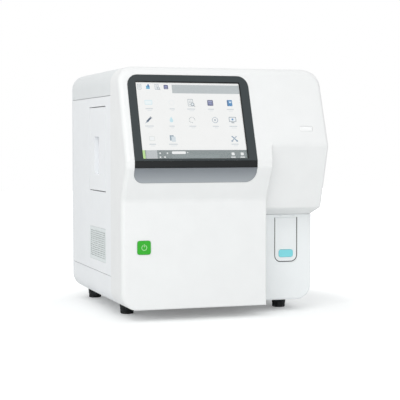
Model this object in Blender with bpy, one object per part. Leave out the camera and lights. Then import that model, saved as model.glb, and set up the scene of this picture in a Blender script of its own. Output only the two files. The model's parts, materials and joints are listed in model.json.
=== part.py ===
"""Bench hematology analyzer with a touch screen, a sample tube drawer and a side service door.

Every separate piece is one object. Units are metres and +Z is up. The front of the unit looks
towards -Y and its left side is at -X. The origin is on the bench, under the middle of the unit.
"""

import math

import bmesh
import bpy
from mathutils import Matrix, Vector

# Overall body
WIDTH = 0.436
DEPTH = 0.486
FOOT_HEIGHT = 0.0235
CORNER_RADIUS = 0.033
SIDE_FILLET = 0.009
TOP_FILLET = 0.016

# Clearances shared by all pieces
GAP = 0.0003
SEAM = 0.0008
OVERRUN = 0.010
TOUCH = 0.00002

# Walls
COVER_WALL = 0.003
SHEET = 0.002

# Creased front face: lower face, forward bend, crest and the face that leans back
CREST_REACH = 0.035
CREST_HIGH_Z = 0.322
CREST_BAND = 0.014
BEND_DROP = 0.066
LEAN = math.radians(20.0)
FRAME_DEPTH = 0.087

# Nose over the tube drawer, and the recess below it
NICHE_WIDTH = 0.129
PANEL_DEPTH = 0.0203
NICHE_TOP_Z = 0.2054
RIDGE_RISE = 0.032
NOSE_FOOT_SETBACK = 0.017
NOSE_FOOT_Z = 0.221
NOSE_EDGE_RADIUS = 0.008

# Cover seams
TRAY_TOP_Z = 0.084
TOP_COVER_HEIGHT = 0.0567
REAR_COVER_DEPTH = 0.0145
REAR_FILLET = 0.008
INLET_PROUD = 0.002

# Screen, bezel and chin
BEZEL_LEFT_INSET = 0.0175
BEZEL_RIGHT_INSET = 0.163
BEZEL_TOP_INSET = 0.017
BEZEL_PROUD = 0.0008
BEZEL_THICKNESS = 0.0052
BEZEL_TOP_RADIUS = 0.022
CHIN_HEIGHT = 0.030
CHIN_RADIUS = 0.020
SCREEN_LEFT_BORDER = 0.0165
SCREEN_RIGHT_BORDER = 0.018
SCREEN_LOW_BORDER = 0.0035
SCREEN_TOP_BORDER = 0.013
SCREEN_HEIGHT = 0.1545
SCREEN_CORNER = 0.003
GLASS_THICKNESS = 0.0015
GLASS_LAP = 0.003
GLASS_DEPTH = 0.0045
DISPLAY_DEPTH = 0.012
DISPLAY_EDGE = 0.002

# Indicator window
INDICATOR_INSET = 0.047
INDICATOR_RISE_SHARE = 0.205128
INDICATOR_WIDTH = 0.028
INDICATOR_HEIGHT = 0.0106
INDICATOR_THICKNESS = 0.005

# Power button
POWER_INSET = 0.0455
POWER_Z = 0.149
POWER_SIZE = 0.0275
POWER_CORNER = 0.0045
POWER_PROUD = 0.0018
POWER_TRAVEL = 0.0015
POWER_CAP_DEPTH = 0.007
POWER_STEM_RADIUS = 0.004
POWER_STEM_LENGTH = 0.006
BUTTON_CLEARANCE = 0.0004
SWITCH_SIZE = 0.020
SWITCH_DEPTH = 0.016

# Sampling panel
PANEL_FILLET = 0.005
LIP_HEIGHT = 0.0062
LIP_PROUD = 0.0015
NOTCH_INSETS = (0.0732, 0.0433)
NOTCH_WIDTH = 0.0055
NOTCH_HEIGHT = 0.0030

# Tube drawer
DRAWER_INSET = 0.05925
DRAWER_FRONT_WIDTH = 0.0491
DRAWER_LOW_Z = 0.1062
DRAWER_CORNER = 0.0125
DRAWER_CLEARANCE = 0.0016
DRAWER_FRONT_THICKNESS = 0.004
DRAWER_TRAVEL = 0.065
TRAY_WIDTH = 0.039
TRAY_FLOOR_Z = 0.1105
TRAY_FLOOR = 0.003
TRAY_WALL = 0.002
TRAY_WALL_HEIGHT = 0.010
TRAY_LENGTH = 0.102
RUNNER_HEIGHT = 0.0015
RUNNER_WIDTH = 0.003
RUNNER_Z = 0.1165
RAIL_WALL = 0.002
RAIL_TOP_Z = 0.1215
RAIL_FRONT_SETBACK = 0.0014
RAIL_LENGTH = 0.095
RUNNING_CLEARANCE = 0.0003
START_WIDTH = 0.0323
START_HEIGHT = 0.0162
START_CORNER = 0.0055
START_Z = 0.1228
START_PROUD = 0.0012
START_TRAVEL = 0.001
START_DEPTH = 0.0045
SOCKET_SETBACK = 0.0363
SOCKET_RADIUS = 0.012
SOCKET_BORE = 0.0068
SOCKET_HEIGHT = 0.046
SOCKET_FLOOR = 0.004

# Drawer drive
GEAR_MODULE = 0.001
PINION_TEETH = 12
PRESSURE_ANGLE = math.radians(20.0)
DEDENDUM_SHARE = 1.25
TOOTH_BACKLASH = 0.0003
RACK_LEFT_OFFSET = 0.01625
RACK_SPINE = 0.003
RACK_HEIGHT = 0.004
PINION_SETBACK = 0.0313
PINION_HEIGHT = 0.004
PINION_SHAFT_RADIUS = 0.002
PINION_SHAFT_LENGTH = 0.0155
DRAWER_MOTOR_RADIUS = 0.010
DRAWER_MOTOR_HEIGHT = 0.028
MOTOR_BORE_DEPTH = 0.012

# Sampler frame
FRAME_INSET = 0.106
FRAME_FRONT_SETBACK = 0.004
FRAME_REAR_MARGIN = 0.0157
FRAME_TOP_DROP = 0.0063
SHELF_Z = 0.096
SHELF_INSET = 0.0335
SHELF_REAR_MARGIN = 0.0152
FOOT_FLANGE = 0.020
ROD_TAB_WIDTH = 0.026
ROD_TAB_HEIGHT = 0.064
ROD_TAB_MARGIN = 0.012

# Sampling carriage and needle
CARRIAGE_TRAVEL = 0.095
ROD_OFFSET = 0.016
ROD_RADIUS = 0.003
ROD_RISE = 0.012
ROD_SPACING = 0.040
ROD_OVERHANG = 0.002
SCREW_RADIUS = 0.0025
CARRIAGE_MOTOR_SIZE = 0.028
CARRIAGE_MOTOR_LENGTH = 0.030
MOTOR_CORNER = 0.0025
CARRIAGE_SETBACK = 0.003
CARRIAGE_LENGTH = 0.030
CARRIAGE_WIDTH = 0.020
COLUMN_THICKNESS = 0.003
COLUMN_CLEARANCE = 0.004
COLUMN_LOW_Z = 0.2215
COLUMN_FRONT_REACH = 0.008
NEEDLE_RADIUS = 0.00075
NEEDLE_TIP_Z = 0.2065
NEEDLE_TIP_TAPER = 0.003
NEEDLE_TOP_DROP = 0.095
NEEDLE_FITTING_RADIUS = 0.003
NEEDLE_FITTING_HEIGHT = 0.009
HOLDER_DROP = 0.020
HOLDER_HEIGHT = 0.0197
HOLDER_SIDE = 0.010
NEEDLE_SCREW_OFFSET = 0.020
NEEDLE_SCREW_RISE = 0.0065
MOTOR_SHELF_DROP = 0.050
NEEDLE_MOTOR_SIZE = 0.022
NEEDLE_MOTOR_HEIGHT = 0.030
COLLAR_RADIUS = 0.008
COLLAR_HEIGHT = 0.012
COLLAR_BORE = 0.0014

# Baths
BATH_RADIUS = 0.011
BATH_BORE = 0.008
BATH_HEIGHT = 0.0965
BATH_FLOOR = 0.0165
BATH_SPACING = 0.030

# Side door and its hinge
DOOR_FRONT_SETBACK = 0.1297
DOOR_LENGTH = 0.1403
DOOR_LOW_Z = 0.256
DOOR_TOP_MARGIN = 0.0218
DOOR_GAP = 0.0016
DOOR_CORNER = 0.002
DOOR_SHEET = 0.0025
RECESS_FRONT_SETBACK = 0.185
RECESS_LENGTH = 0.042
RECESS_RISE_SHARE = 0.193732
RECESS_HEIGHT_SHARE = 0.455840
RECESS_DEPTH = 0.013
RECESS_WALL = 0.0015
HINGE_INSET = 0.006
HINGE_DEPTH = 0.0045
PIN_RADIUS = 0.0015
PIN_BORE = 0.0018
KNUCKLE_RADIUS = 0.003
KNUCKLE_HEIGHT = 0.011
KNUCKLE_DROP = 0.001
BRACKET_HEIGHT = 0.010
BRACKET_WIDTH = 0.012
BRACKET_REACH = 0.0055

# Air filter
FILTER_LOW_Z = 0.1076
FILTER_HIGH_Z = 0.177
FILTER_CORNER = 0.0015
GRILLE_BORDER = 0.005
GRILLE_SLOT = 0.0022
GRILLE_PITCH = 0.0044
FOAM_THICKNESS = 0.008
FOAM_LAP = 0.004

# Fluidics plate and what it carries
FLUIDICS_INSET = 0.093
FLUIDICS_FRONT_SETBACK = 0.005
FLUIDICS_REAR_SETBACK = 0.0257
FLUIDICS_TOP_DROP = 0.0083
BOARD_STANDOFF = 0.010
STANDOFF_RADIUS = 0.003
BOARD_THICKNESS = 0.0016
BOARD_FRONT_SETBACK = 0.1352
BOARD_REAR_SETBACK = 0.0128
BOARD_LOW_Z = 0.215
BOARD_TOP_DROP = 0.055
BOARD_MARGIN = 0.006
CHIP_HEIGHT = 0.003
SINK_HEIGHT = 0.014
BARREL_OUT = 0.017
BARREL_RADIUS = 0.009
BARREL_BORE = 0.0075
BARREL_LENGTH = 0.090
BARREL_TOP_DROP = 0.020
BARREL_HEAD = 0.010
BARREL_SETBACKS = (0.0552, 0.0832)
PLUNGER_CLEARANCE = 0.0003
PLUNGER_HEAD = 0.010
PLUNGER_ROD_RADIUS = 0.003
YOKE_DROP = 0.029
YOKE_HEIGHT = 0.010
YOKE_WIDTH = 0.016
MANIFOLD_SETBACK = 0.1092
MANIFOLD_LENGTH = 0.062
MANIFOLD_DROP = 0.073
MANIFOLD_HEIGHT = 0.050
MANIFOLD_DEPTH = 0.022
VALVE_RADIUS = 0.0085
VALVE_LENGTH = 0.014
VALVE_COLUMNS = 3
VALVE_ROWS = 2
PUMP_SETBACK = 0.1412
PUMP_DROP = 0.145
PUMP_RADIUS = 0.026
PUMP_BORE = 0.0225
PUMP_DEPTH = 0.026
PUMP_FLOOR = 0.008
PUMP_SHAFT_RADIUS = 0.003
ROTOR_CLEARANCE = 0.0005
ROLLER_CIRCLE = 0.0155
ROLLER_RADIUS = 0.0055
ROLLER_COUNT = 3
ROTOR_DISC_RADIUS = 0.019
ROTOR_DISC_THICKNESS = 0.003
ROTOR_HUB_RADIUS = 0.006
ROTOR_DEPTH = 0.015

# Power supply
SUPPLY_LEFT_CLEARANCE = 0.038
SUPPLY_RIGHT_CLEARANCE = 0.027
SUPPLY_REAR_SETBACK = 0.060
SUPPLY_WIDTH = 0.100
SUPPLY_HEIGHT = 0.042
SUPPLY_EDGE = 0.0015
TERMINAL_LENGTH = 0.060
TERMINAL_HEIGHT = 0.012
TERMINAL_DEPTH = 0.010

# Fan
FAN_INSET = 0.178
FAN_DROP = 0.110
FAN_SIZE = 0.080
FAN_DEPTH = 0.025
FAN_CORNER = 0.005
FAN_BORE = 0.0375
FAN_HUB_RADIUS = 0.017
FAN_HUB_FLOOR = 0.004
FAN_STRUT = 0.004
FAN_STRUTS = 4
FAN_STRUT_LAP = 0.001
FAN_STRUT_INSET = 0.0005
FAN_PIN_RADIUS = 0.002
FAN_BLADES = 7
FAN_TIP_CLEARANCE = 0.0015
FAN_BLADE_THICKNESS = 0.0015
FAN_BLADE_PITCH = math.radians(38.0)
FAN_HUB_DEPTH = 0.015
VENT_SLOT = 0.0035
VENT_PITCH = 0.0075

# Rear inlet with its rocker switch
INLET_INSET = 0.068
INLET_Z = 0.115
INLET_WIDTH = 0.030
INLET_HEIGHT = 0.062
INLET_BODY_WIDTH = 0.027
INLET_BODY_HEIGHT = 0.056
INLET_BODY_DEPTH = 0.030
INLET_CORNER = 0.003
SOCKET_C_WIDTH = 0.0245
SOCKET_C_HEIGHT = 0.0165
SOCKET_C_CHAMFER = 0.005
SOCKET_C_DEPTH = 0.017
SOCKET_C_DROP = 0.0145
BLADE_WIDTH = 0.002
BLADE_HEIGHT = 0.004
BLADE_LENGTH = 0.013
BLADE_SPREAD = 0.007
ROCKER_RISE = 0.0165
ROCKER_WIDTH = 0.013
ROCKER_HEIGHT = 0.019
ROCKER_DEPTH = 0.010
ROCKER_WINDOW_DEPTH = 0.015
ROCKER_CLEARANCE = 0.0006
ROCKER_SWING = math.radians(8.0)
ROCKER_CROWN = 0.0028
ROCKER_SINK = 0.0045

# Rear fluid ports
PORTS_INSET = 0.158
PORTS_Z = 0.240
PORTS_WIDTH = 0.070
PORTS_HEIGHT = 0.070
PORTS_CORNER = 0.004
PORTS_RIM = 0.002
PORTS_WELL_DEPTH = 0.014
PORT_SPACING = 0.030
PORT_RADIUS = 0.005
PORT_BARB_RADIUS = 0.0035
PORT_LENGTH = 0.012

# Rear data ports
DATA_INSET = 0.113
DATA_Z = 0.300
DATA_WIDTH = 0.022
DATA_HEIGHT = 0.090
DATA_DEPTH = 0.020
DATA_CORNER = 0.0015
SOCKET_DEPTH = 0.013
USB_WIDTH = 0.0058
USB_HEIGHT = 0.0132
USB_Z_OFFSETS = (0.026, 0.004)
LAN_WIDTH = 0.012
LAN_HEIGHT = 0.015
LAN_Z_OFFSET = -0.024

# Feet
FOOT_TOP_RADIUS = 0.015
FOOT_BOTTOM_RADIUS = 0.0135
FOOT_EDGE = 0.0015
FOOT_INSET = 0.047
FRONT_FOOT_SETBACK = 0.050
REAR_FOOT_SETBACK = 0.0302

# Facets
CORNER_STEPS = 6
FILLET_STEPS = 4
SMALL_STEPS = 3
ROUND_STEPS = 24
ROD_STEPS = 16
FLANK_STEPS = 3
SMOOTH_ANGLE = math.radians(35.0)

# Places worked out from the sizes above
FRONT_Y = BEZEL_PROUD - DEPTH / 2
BACK_Y = DEPTH / 2
FACE_Y = FRONT_Y + CREST_REACH
LEFT_X = -WIDTH / 2
RIGHT_X = WIDTH / 2
CREST_LOW_Z = CREST_HIGH_Z - CREST_BAND
BEND_Z = CREST_LOW_Z - BEND_DROP
RIDGE_Z = CREST_HIGH_Z + RIDGE_RISE
SCREEN_LOW_Z = CREST_HIGH_Z + SCREEN_LOW_BORDER
SCREEN_HIGH_Z = SCREEN_LOW_Z + SCREEN_HEIGHT
BEZEL_TOP_Z = SCREEN_HIGH_Z + SCREEN_TOP_BORDER
HEIGHT = BEZEL_TOP_Z + BEZEL_TOP_INSET
TOP_SEAM_Z = HEIGHT - TOP_COVER_HEIGHT
NICHE_LEFT_X = RIGHT_X - NICHE_WIDTH
BEZEL_LEFT_X = LEFT_X + BEZEL_LEFT_INSET
BEZEL_RIGHT_X = RIGHT_X - BEZEL_RIGHT_INSET
CHIN_LOW_Z = CREST_LOW_Z - CHIN_HEIGHT
SCREEN_LEFT_X = BEZEL_LEFT_X + SCREEN_LEFT_BORDER
SCREEN_RIGHT_X = BEZEL_RIGHT_X - SCREEN_RIGHT_BORDER
INDICATOR_X = RIGHT_X - INDICATOR_INSET
INDICATOR_Z = RIDGE_Z + (HEIGHT - RIDGE_Z) * INDICATOR_RISE_SHARE
POWER_X = LEFT_X + POWER_INSET
SEAM_Y = FACE_Y + FRAME_DEPTH
NICHE_Y = SEAM_Y - PANEL_DEPTH
REAR_FACE_Y = BACK_Y - INLET_PROUD
REAR_SEAM_Y = REAR_FACE_Y - REAR_COVER_DEPTH
BODY_FLOOR_Z = FOOT_HEIGHT + SHEET
REAR_WALL_Y = REAR_FACE_Y - COVER_WALL
DOOR_FRONT_Y = FACE_Y + DOOR_FRONT_SETBACK
DOOR_REAR_Y = DOOR_FRONT_Y + DOOR_LENGTH
DOOR_HIGH_Z = TOP_SEAM_Z - DOOR_TOP_MARGIN
RECESS_FRONT_Y = FACE_Y + RECESS_FRONT_SETBACK
RECESS_LOW_Z = DOOR_LOW_Z + (DOOR_HIGH_Z - DOOR_LOW_Z) * RECESS_RISE_SHARE
RECESS_HIGH_Z = RECESS_LOW_Z + (DOOR_HIGH_Z - DOOR_LOW_Z) * RECESS_HEIGHT_SHARE
HINGE_X = LEFT_X + HINGE_DEPTH
HINGE_Y = DOOR_REAR_Y - HINGE_INSET
PANEL_TOP_Z = NICHE_TOP_Z - GAP
DRAWER_X = RIGHT_X - DRAWER_INSET
DRAWER_LEFT_X = DRAWER_X - DRAWER_FRONT_WIDTH / 2
DRAWER_TOP_Z = PANEL_TOP_Z - LIP_HEIGHT - DRAWER_CLEARANCE
DRAWER_BACK_Y = NICHE_Y + DRAWER_FRONT_THICKNESS
TUBE_Y = NICHE_Y + SOCKET_SETBACK
TUBE_X = DRAWER_X
SOCKET_LOW_Z = TRAY_FLOOR_Z + TRAY_FLOOR + GAP
FRAME_FRONT_Y = SEAM_Y + FRAME_FRONT_SETBACK
FRAME_X = RIGHT_X - FRAME_INSET
FRAME_RIGHT_X = FRAME_X + SHEET
FRAME_TOP_Z = TOP_SEAM_Z - FRAME_TOP_DROP
SHELF_TOP_Z = SHELF_Z + SHEET
SHELF_RIGHT_X = RIGHT_X - SHELF_INSET
PINION_Y = NICHE_Y + PINION_SETBACK
PITCH_RADIUS = GEAR_MODULE * PINION_TEETH / 2
RACK_X = DRAWER_X - RACK_LEFT_OFFSET
RACK_TOP_Z = TRAY_FLOOR_Z - GAP
RACK_PITCH_X = RACK_X + RACK_SPINE + DEDENDUM_SHARE * GEAR_MODULE
PINION_X = RACK_PITCH_X + PITCH_RADIUS
ROD_X = FRAME_RIGHT_X + ROD_OFFSET
ROD_TAB_LOW_Z = FRAME_TOP_Z - ROD_TAB_HEIGHT
ROD_LOW_Z = ROD_TAB_LOW_Z + ROD_RISE
ROD_HIGH_Z = ROD_LOW_Z + ROD_SPACING
CARRIAGE_SCREW_Z = (ROD_LOW_Z + ROD_HIGH_Z) / 2
COLUMN_X = ROD_X + CARRIAGE_WIDTH / 2 + COLUMN_CLEARANCE
COLUMN_FACE_X = COLUMN_X + COLUMN_THICKNESS
CARRIAGE_FRONT_Y = TUBE_Y + CARRIAGE_SETBACK
CARRIAGE_REAR_Y = CARRIAGE_FRONT_Y + CARRIAGE_LENGTH
ROD_TAB_REAR_Y = CARRIAGE_REAR_Y + CARRIAGE_TRAVEL + ROD_TAB_MARGIN
CARRIAGE_MOTOR_Y = ROD_TAB_REAR_Y + SHEET + GAP
FRAME_REAR_Y = CARRIAGE_MOTOR_Y + CARRIAGE_MOTOR_LENGTH + FRAME_REAR_MARGIN
COLUMN_FRONT_Y = TUBE_Y - COLUMN_FRONT_REACH
NEEDLE_SCREW_Y = TUBE_Y + NEEDLE_SCREW_OFFSET
NEEDLE_TOP_Z = FRAME_TOP_Z - NEEDLE_TOP_DROP
HOLDER_LOW_Z = NEEDLE_TOP_Z - HOLDER_DROP
MOTOR_SHELF_Z = FRAME_TOP_Z - MOTOR_SHELF_DROP
NEEDLE_SCREW_TOP_Z = MOTOR_SHELF_Z + NEEDLE_SCREW_RISE
COLUMN_SHELF_X = TUBE_X + NEEDLE_MOTOR_SIZE / 2
BATH_Y = TUBE_Y + CARRIAGE_TRAVEL
SHELF_REAR_Y = BATH_Y + BATH_SPACING + SHELF_REAR_MARGIN
FLUIDICS_X = LEFT_X + FLUIDICS_INSET
FLUIDICS_RIGHT_X = FLUIDICS_X + SHEET
FLUIDICS_FRONT_Y = SEAM_Y + FLUIDICS_FRONT_SETBACK
FLUIDICS_REAR_Y = REAR_SEAM_Y - FLUIDICS_REAR_SETBACK
FLUIDICS_TOP_Z = TOP_SEAM_Z - FLUIDICS_TOP_DROP
BOARD_FRONT_Y = FLUIDICS_FRONT_Y + BOARD_FRONT_SETBACK
BOARD_LENGTH = FLUIDICS_REAR_Y - BOARD_REAR_SETBACK - BOARD_FRONT_Y
BOARD_HEIGHT = FLUIDICS_TOP_Z - BOARD_TOP_DROP - BOARD_LOW_Z
BARREL_X = FLUIDICS_X - BARREL_OUT
BARREL_TOP_Z = FLUIDICS_TOP_Z - BARREL_TOP_DROP
BARREL_LOW_Z = BARREL_TOP_Z - BARREL_LENGTH
BARREL_Y_PLACES = [FLUIDICS_FRONT_Y + setback for setback in BARREL_SETBACKS]
YOKE_Z = BARREL_LOW_Z - YOKE_DROP
MANIFOLD_FRONT_Y = FLUIDICS_FRONT_Y + MANIFOLD_SETBACK
MANIFOLD_LOW_Z = FLUIDICS_TOP_Z - MANIFOLD_DROP
PUMP_Y = FLUIDICS_FRONT_Y + PUMP_SETBACK
PUMP_Z = FLUIDICS_TOP_Z - PUMP_DROP
FAN_X = LEFT_X + FAN_INSET
FAN_Z = HEIGHT - FAN_DROP
FAN_REAR_Y = REAR_WALL_Y - GAP
INLET_X = RIGHT_X - INLET_INSET
PORTS_X = RIGHT_X - PORTS_INSET
DATA_X = LEFT_X + DATA_INSET

# Finishes: colour, roughness and metallic value
FINISHES = {
    "white cover": ((0.86, 0.87, 0.86), 0.45, 0.0),
    "blue white cover": ((0.80, 0.83, 0.84), 0.50, 0.0),
    "bezel plastic": ((0.065, 0.085, 0.09), 0.40, 0.0),
    "silver plastic": ((0.38, 0.41, 0.44), 0.35, 0.2),
    "glass": ((0.85, 0.87, 0.88), 0.08, 0.0),
    "display": ((0.90, 0.92, 0.93), 0.30, 0.0),
    "green plastic": ((0.05, 0.45, 0.04), 0.35, 0.0),
    "cyan plastic": ((0.23, 0.71, 0.79), 0.35, 0.0),
    "grey plastic": ((0.62, 0.67, 0.67), 0.50, 0.0),
    "black plastic": ((0.02, 0.02, 0.022), 0.45, 0.0),
    "clear plastic": ((0.80, 0.83, 0.85), 0.15, 0.0),
    "rubber": ((0.012, 0.014, 0.015), 0.85, 0.0),
    "foam": ((0.10, 0.10, 0.11), 0.95, 0.0),
    "steel": ((0.62, 0.63, 0.64), 0.28, 1.0),
    "zinc sheet": ((0.60, 0.61, 0.60), 0.42, 1.0),
    "aluminium": ((0.75, 0.76, 0.77), 0.35, 1.0),
    "brass": ((0.75, 0.58, 0.28), 0.30, 1.0),
    "circuit board": ((0.02, 0.16, 0.07), 0.50, 0.0),
}


# Outlines

def face_y(height):
    """Where the creased front face stands at a height."""
    if height <= BEND_Z:
        return FACE_Y
    if height <= CREST_LOW_Z:
        return FACE_Y - CREST_REACH * (height - BEND_Z) / (CREST_LOW_Z - BEND_Z)
    if height <= CREST_HIGH_Z:
        return FRONT_Y
    return FRONT_Y + (height - CREST_HIGH_Z) * math.tan(LEAN)


def circle(centre, radius, steps=ROUND_STEPS):
    """The points of a circle."""
    turns = [2 * math.pi * step / steps for step in range(steps)]
    return [(centre[0] + radius * math.cos(turn), centre[1] + radius * math.sin(turn)) for turn in turns]


def rounded(points, radii, steps=CORNER_STEPS):
    """A closed outline with each corner rounded to its own radius, where 0 keeps it sharp."""
    outline = []
    for index, (corner, radius) in enumerate(zip(points, radii)):
        here = Vector(corner)
        if radius <= 0:
            outline.append(tuple(here))
            continue
        before = (Vector(points[index - 1]) - here).normalized()
        after = (Vector(points[(index + 1) % len(points)]) - here).normalized()
        half = before.angle(after) / 2
        centre = here + (before + after).normalized() * radius / math.sin(half)
        spoke = here + before * radius / math.tan(half) - centre
        sweep = (math.pi - 2 * half) * (1 if before.x * after.y > before.y * after.x else -1)
        for step in range(steps + 1):
            turn = -sweep * step / steps
            outline.append((
                centre.x + spoke.x * math.cos(turn) - spoke.y * math.sin(turn),
                centre.y + spoke.x * math.sin(turn) + spoke.y * math.cos(turn),
            ))
    return outline


def rectangle(low_u, high_u, low_v, high_v, radius=0.0, steps=SMALL_STEPS):
    """A rectangle, with rounded corners where the radius isn't 0."""
    corners = [(low_u, low_v), (high_u, low_v), (high_u, high_v), (low_u, high_v)]
    return rounded(corners, [radius] * len(corners), steps)


def centred(centre_u, centre_v, width, height, radius=0.0, steps=SMALL_STEPS):
    """A rectangle about its centre."""
    low_u, low_v = centre_u - width / 2, centre_v - height / 2
    return rectangle(low_u, low_u + width, low_v, low_v + height, radius, steps)


def grown(outline, distance):
    """A closed counterclockwise outline with every side moved out by a distance."""
    count = len(outline)
    moved = []
    for index in range(count):
        before, here, after = (Vector(outline[(index + shift) % count]) for shift in (-1, 0, 1))
        first, second = (here - before).normalized(), (after - here).normalized()
        out_first, out_second = Vector((first.y, -first.x)), Vector((second.y, -second.x))
        mitre = (out_first + out_second) / (1 + out_first.dot(out_second))
        moved.append(tuple(here + mitre * distance))
    return moved


def body_outline(inset=0.0):
    """The body seen from the front, inside its outer surface by an inset."""
    half = WIDTH / 2 - inset
    radius = CORNER_RADIUS - inset
    return rectangle(-half, half, FOOT_HEIGHT + inset, HEIGHT - inset, radius, CORNER_STEPS)


def niche_outline(wall=0.0):
    """The space in front of the nose and the sampling panel, from the side, grown by a wall."""
    corners = [
        (FRONT_Y - OVERRUN, -OVERRUN),
        (SEAM_Y + OVERRUN, -OVERRUN),
        (SEAM_Y + OVERRUN, NICHE_TOP_Z),
        (NICHE_Y, NICHE_TOP_Z),
        (FACE_Y + NOSE_FOOT_SETBACK, NOSE_FOOT_Z),
        (face_y(RIDGE_Z), RIDGE_Z),
        (FRONT_Y - OVERRUN, RIDGE_Z),
    ]
    radii = [0.0] * len(corners)
    radii[4] = NOSE_EDGE_RADIUS
    return grown(rounded(corners, radii, SMALL_STEPS), wall)


# Solids

def make_object(name, form):
    """An object from a mesh under construction, with its faces turned outwards."""
    bmesh.ops.recalc_face_normals(form, faces=form.faces)
    mesh = bpy.data.meshes.new(name)
    form.to_mesh(mesh)
    form.free()
    piece = bpy.data.objects.new(name, mesh)
    bpy.context.scene.collection.objects.link(piece)
    return piece


def on_axis(axis, u, v, along):
    """A point from two outline coordinates and a place along X, Y or Z."""
    return {"X": (along, u, v), "Y": (u, along, v), "Z": (u, v, along)}[axis]


def prism(name, outline, axis, low, high):
    """An outline extruded along an axis. It lies in YZ for X, in XZ for Y and in XY for Z."""
    form = bmesh.new()
    ends = [[form.verts.new(on_axis(axis, u, v, along)) for u, v in outline] for along in (low, high)]
    for end in ends:
        form.faces.new(end)
    count = len(outline)
    for index in range(count):
        after = (index + 1) % count
        form.faces.new((ends[0][index], ends[0][after], ends[1][after], ends[1][index]))
    return make_object(name, form)


def rod(name, axis, centre, radius, low, high, steps=ROD_STEPS):
    """A round bar along an axis."""
    return prism(name, circle(centre, radius, steps), axis, low, high)


def turned(name, profile, axis, centre, steps=ROUND_STEPS):
    """A closed profile of radius and place along the axis, turned round the axis."""
    form = bmesh.new()
    rings = []
    for radius, along in profile:
        if radius <= 0:
            rings.append([form.verts.new(on_axis(axis, centre[0], centre[1], along))])
        else:
            points = circle(centre, radius, steps)
            rings.append([form.verts.new(on_axis(axis, u, v, along)) for u, v in points])
    for index, ring in enumerate(rings):
        other = rings[(index + 1) % len(rings)]
        if len(ring) == 1 and len(other) == 1:
            continue
        for step in range(steps):
            after = (step + 1) % steps
            corners = [ring[step % len(ring)], ring[after % len(ring)]]
            corners += [other[after % len(other)], other[step % len(other)]]
            form.faces.new(list(dict.fromkeys(corners)))
    return make_object(name, form)


def block(name, low, high):
    """A box between two corners."""
    return prism(name, rectangle(low[0], high[0], low[1], high[1]), "Z", low[2], high[2])


def box_set(name, boxes):
    """Many separate boxes in one object, to cut a pattern with."""
    form = bmesh.new()
    for low, high in boxes:
        middle = [(a + b) / 2 for a, b in zip(low, high)]
        size = [b - a for a, b in zip(low, high)]
        matrix = Matrix.Translation(middle) @ Matrix.Diagonal((*size, 1))
        bmesh.ops.create_cube(form, size=1, matrix=matrix)
    return make_object(name, form)


def round_edges(piece, width, steps, chosen):
    """Round the edges whose middle point passes a test."""
    form = bmesh.new()
    form.from_mesh(piece.data)
    edges = [edge for edge in form.edges if chosen((edge.verts[0].co + edge.verts[1].co) / 2)]
    bmesh.ops.bevel(
        form, geom=edges, offset=width, segments=steps, profile=0.5, affect="EDGES", clamp_overlap=True
    )
    form.to_mesh(piece.data)
    form.free()
    return piece


def combine(piece, operation, tools):
    """Join to, cut from or keep of a piece what each tool covers, and use the tools up."""
    for tool in tools:
        modifier = piece.modifiers.new(operation.lower(), "BOOLEAN")
        modifier.operation = operation
        modifier.solver = "EXACT"
        modifier.object = tool
        with bpy.context.temp_override(object=piece, active_object=piece, selected_objects=[piece]):
            bpy.ops.object.modifier_apply(modifier=modifier.name)
        bpy.data.objects.remove(tool, do_unlink=True)
    return piece


def join(piece, *tools):
    """Add tools to a piece as one solid."""
    return combine(piece, "UNION", tools)


def cut(piece, *tools):
    """Take tools away from a piece."""
    return combine(piece, "DIFFERENCE", tools)


def keep(piece, *tools):
    """Keep only what lies inside the tools."""
    return combine(piece, "INTERSECT", tools)


def finish(piece, look):
    """Shade a piece smoothly between its edges and give it its own material."""
    colour, roughness, metallic = FINISHES[look]
    piece.data.shade_smooth()
    piece.data.set_sharp_from_angle(angle=SMOOTH_ANGLE)
    material = bpy.data.materials.new(piece.name + "_material")
    material.use_nodes = True
    shader = material.node_tree.nodes["Principled BSDF"]
    shader.inputs["Base Color"].default_value = (*colour, 1)
    shader.inputs["Roughness"].default_value = roughness
    shader.inputs["Metallic"].default_value = metallic
    piece.data.materials.clear()
    piece.data.materials.append(material)
    return piece


def hang_on_axis(piece, point, carrier=None):
    """Put a moving piece's origin on its joint's axis, and its parent under it."""
    piece.data.transform(Matrix.Translation(-Vector(point)))
    piece.location = point
    if carrier is not None:
        carry(carrier, piece)
    return piece


def carry(carrier, *pieces):
    """Parent pieces to the one that carries them, without moving them."""
    bpy.context.view_layer.update()
    for piece in pieces:
        piece.parent = carrier
        piece.matrix_parent_inverse = carrier.matrix_world.inverted()


# The leaning face has its own frame: X across, the second axis up the face, the third out of it
LEAN_FRAME = Matrix((
    (1, 0, 0, 0),
    (0, math.sin(LEAN), -math.cos(LEAN), FRONT_Y),
    (0, math.cos(LEAN), math.sin(LEAN), CREST_HIGH_Z),
    (0, 0, 0, 1),
))


def up_face(height):
    """How far up the leaning face a height is."""
    return (height - CREST_HIGH_Z) / math.cos(LEAN)


def face_prism(name, outline, inner, outer):
    """An outline on the leaning face, extruded from inside the face to outside it."""
    piece = prism(name, outline, "Z", inner, outer)
    piece.data.transform(LEAN_FRAME)
    return piece


# Covers

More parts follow.
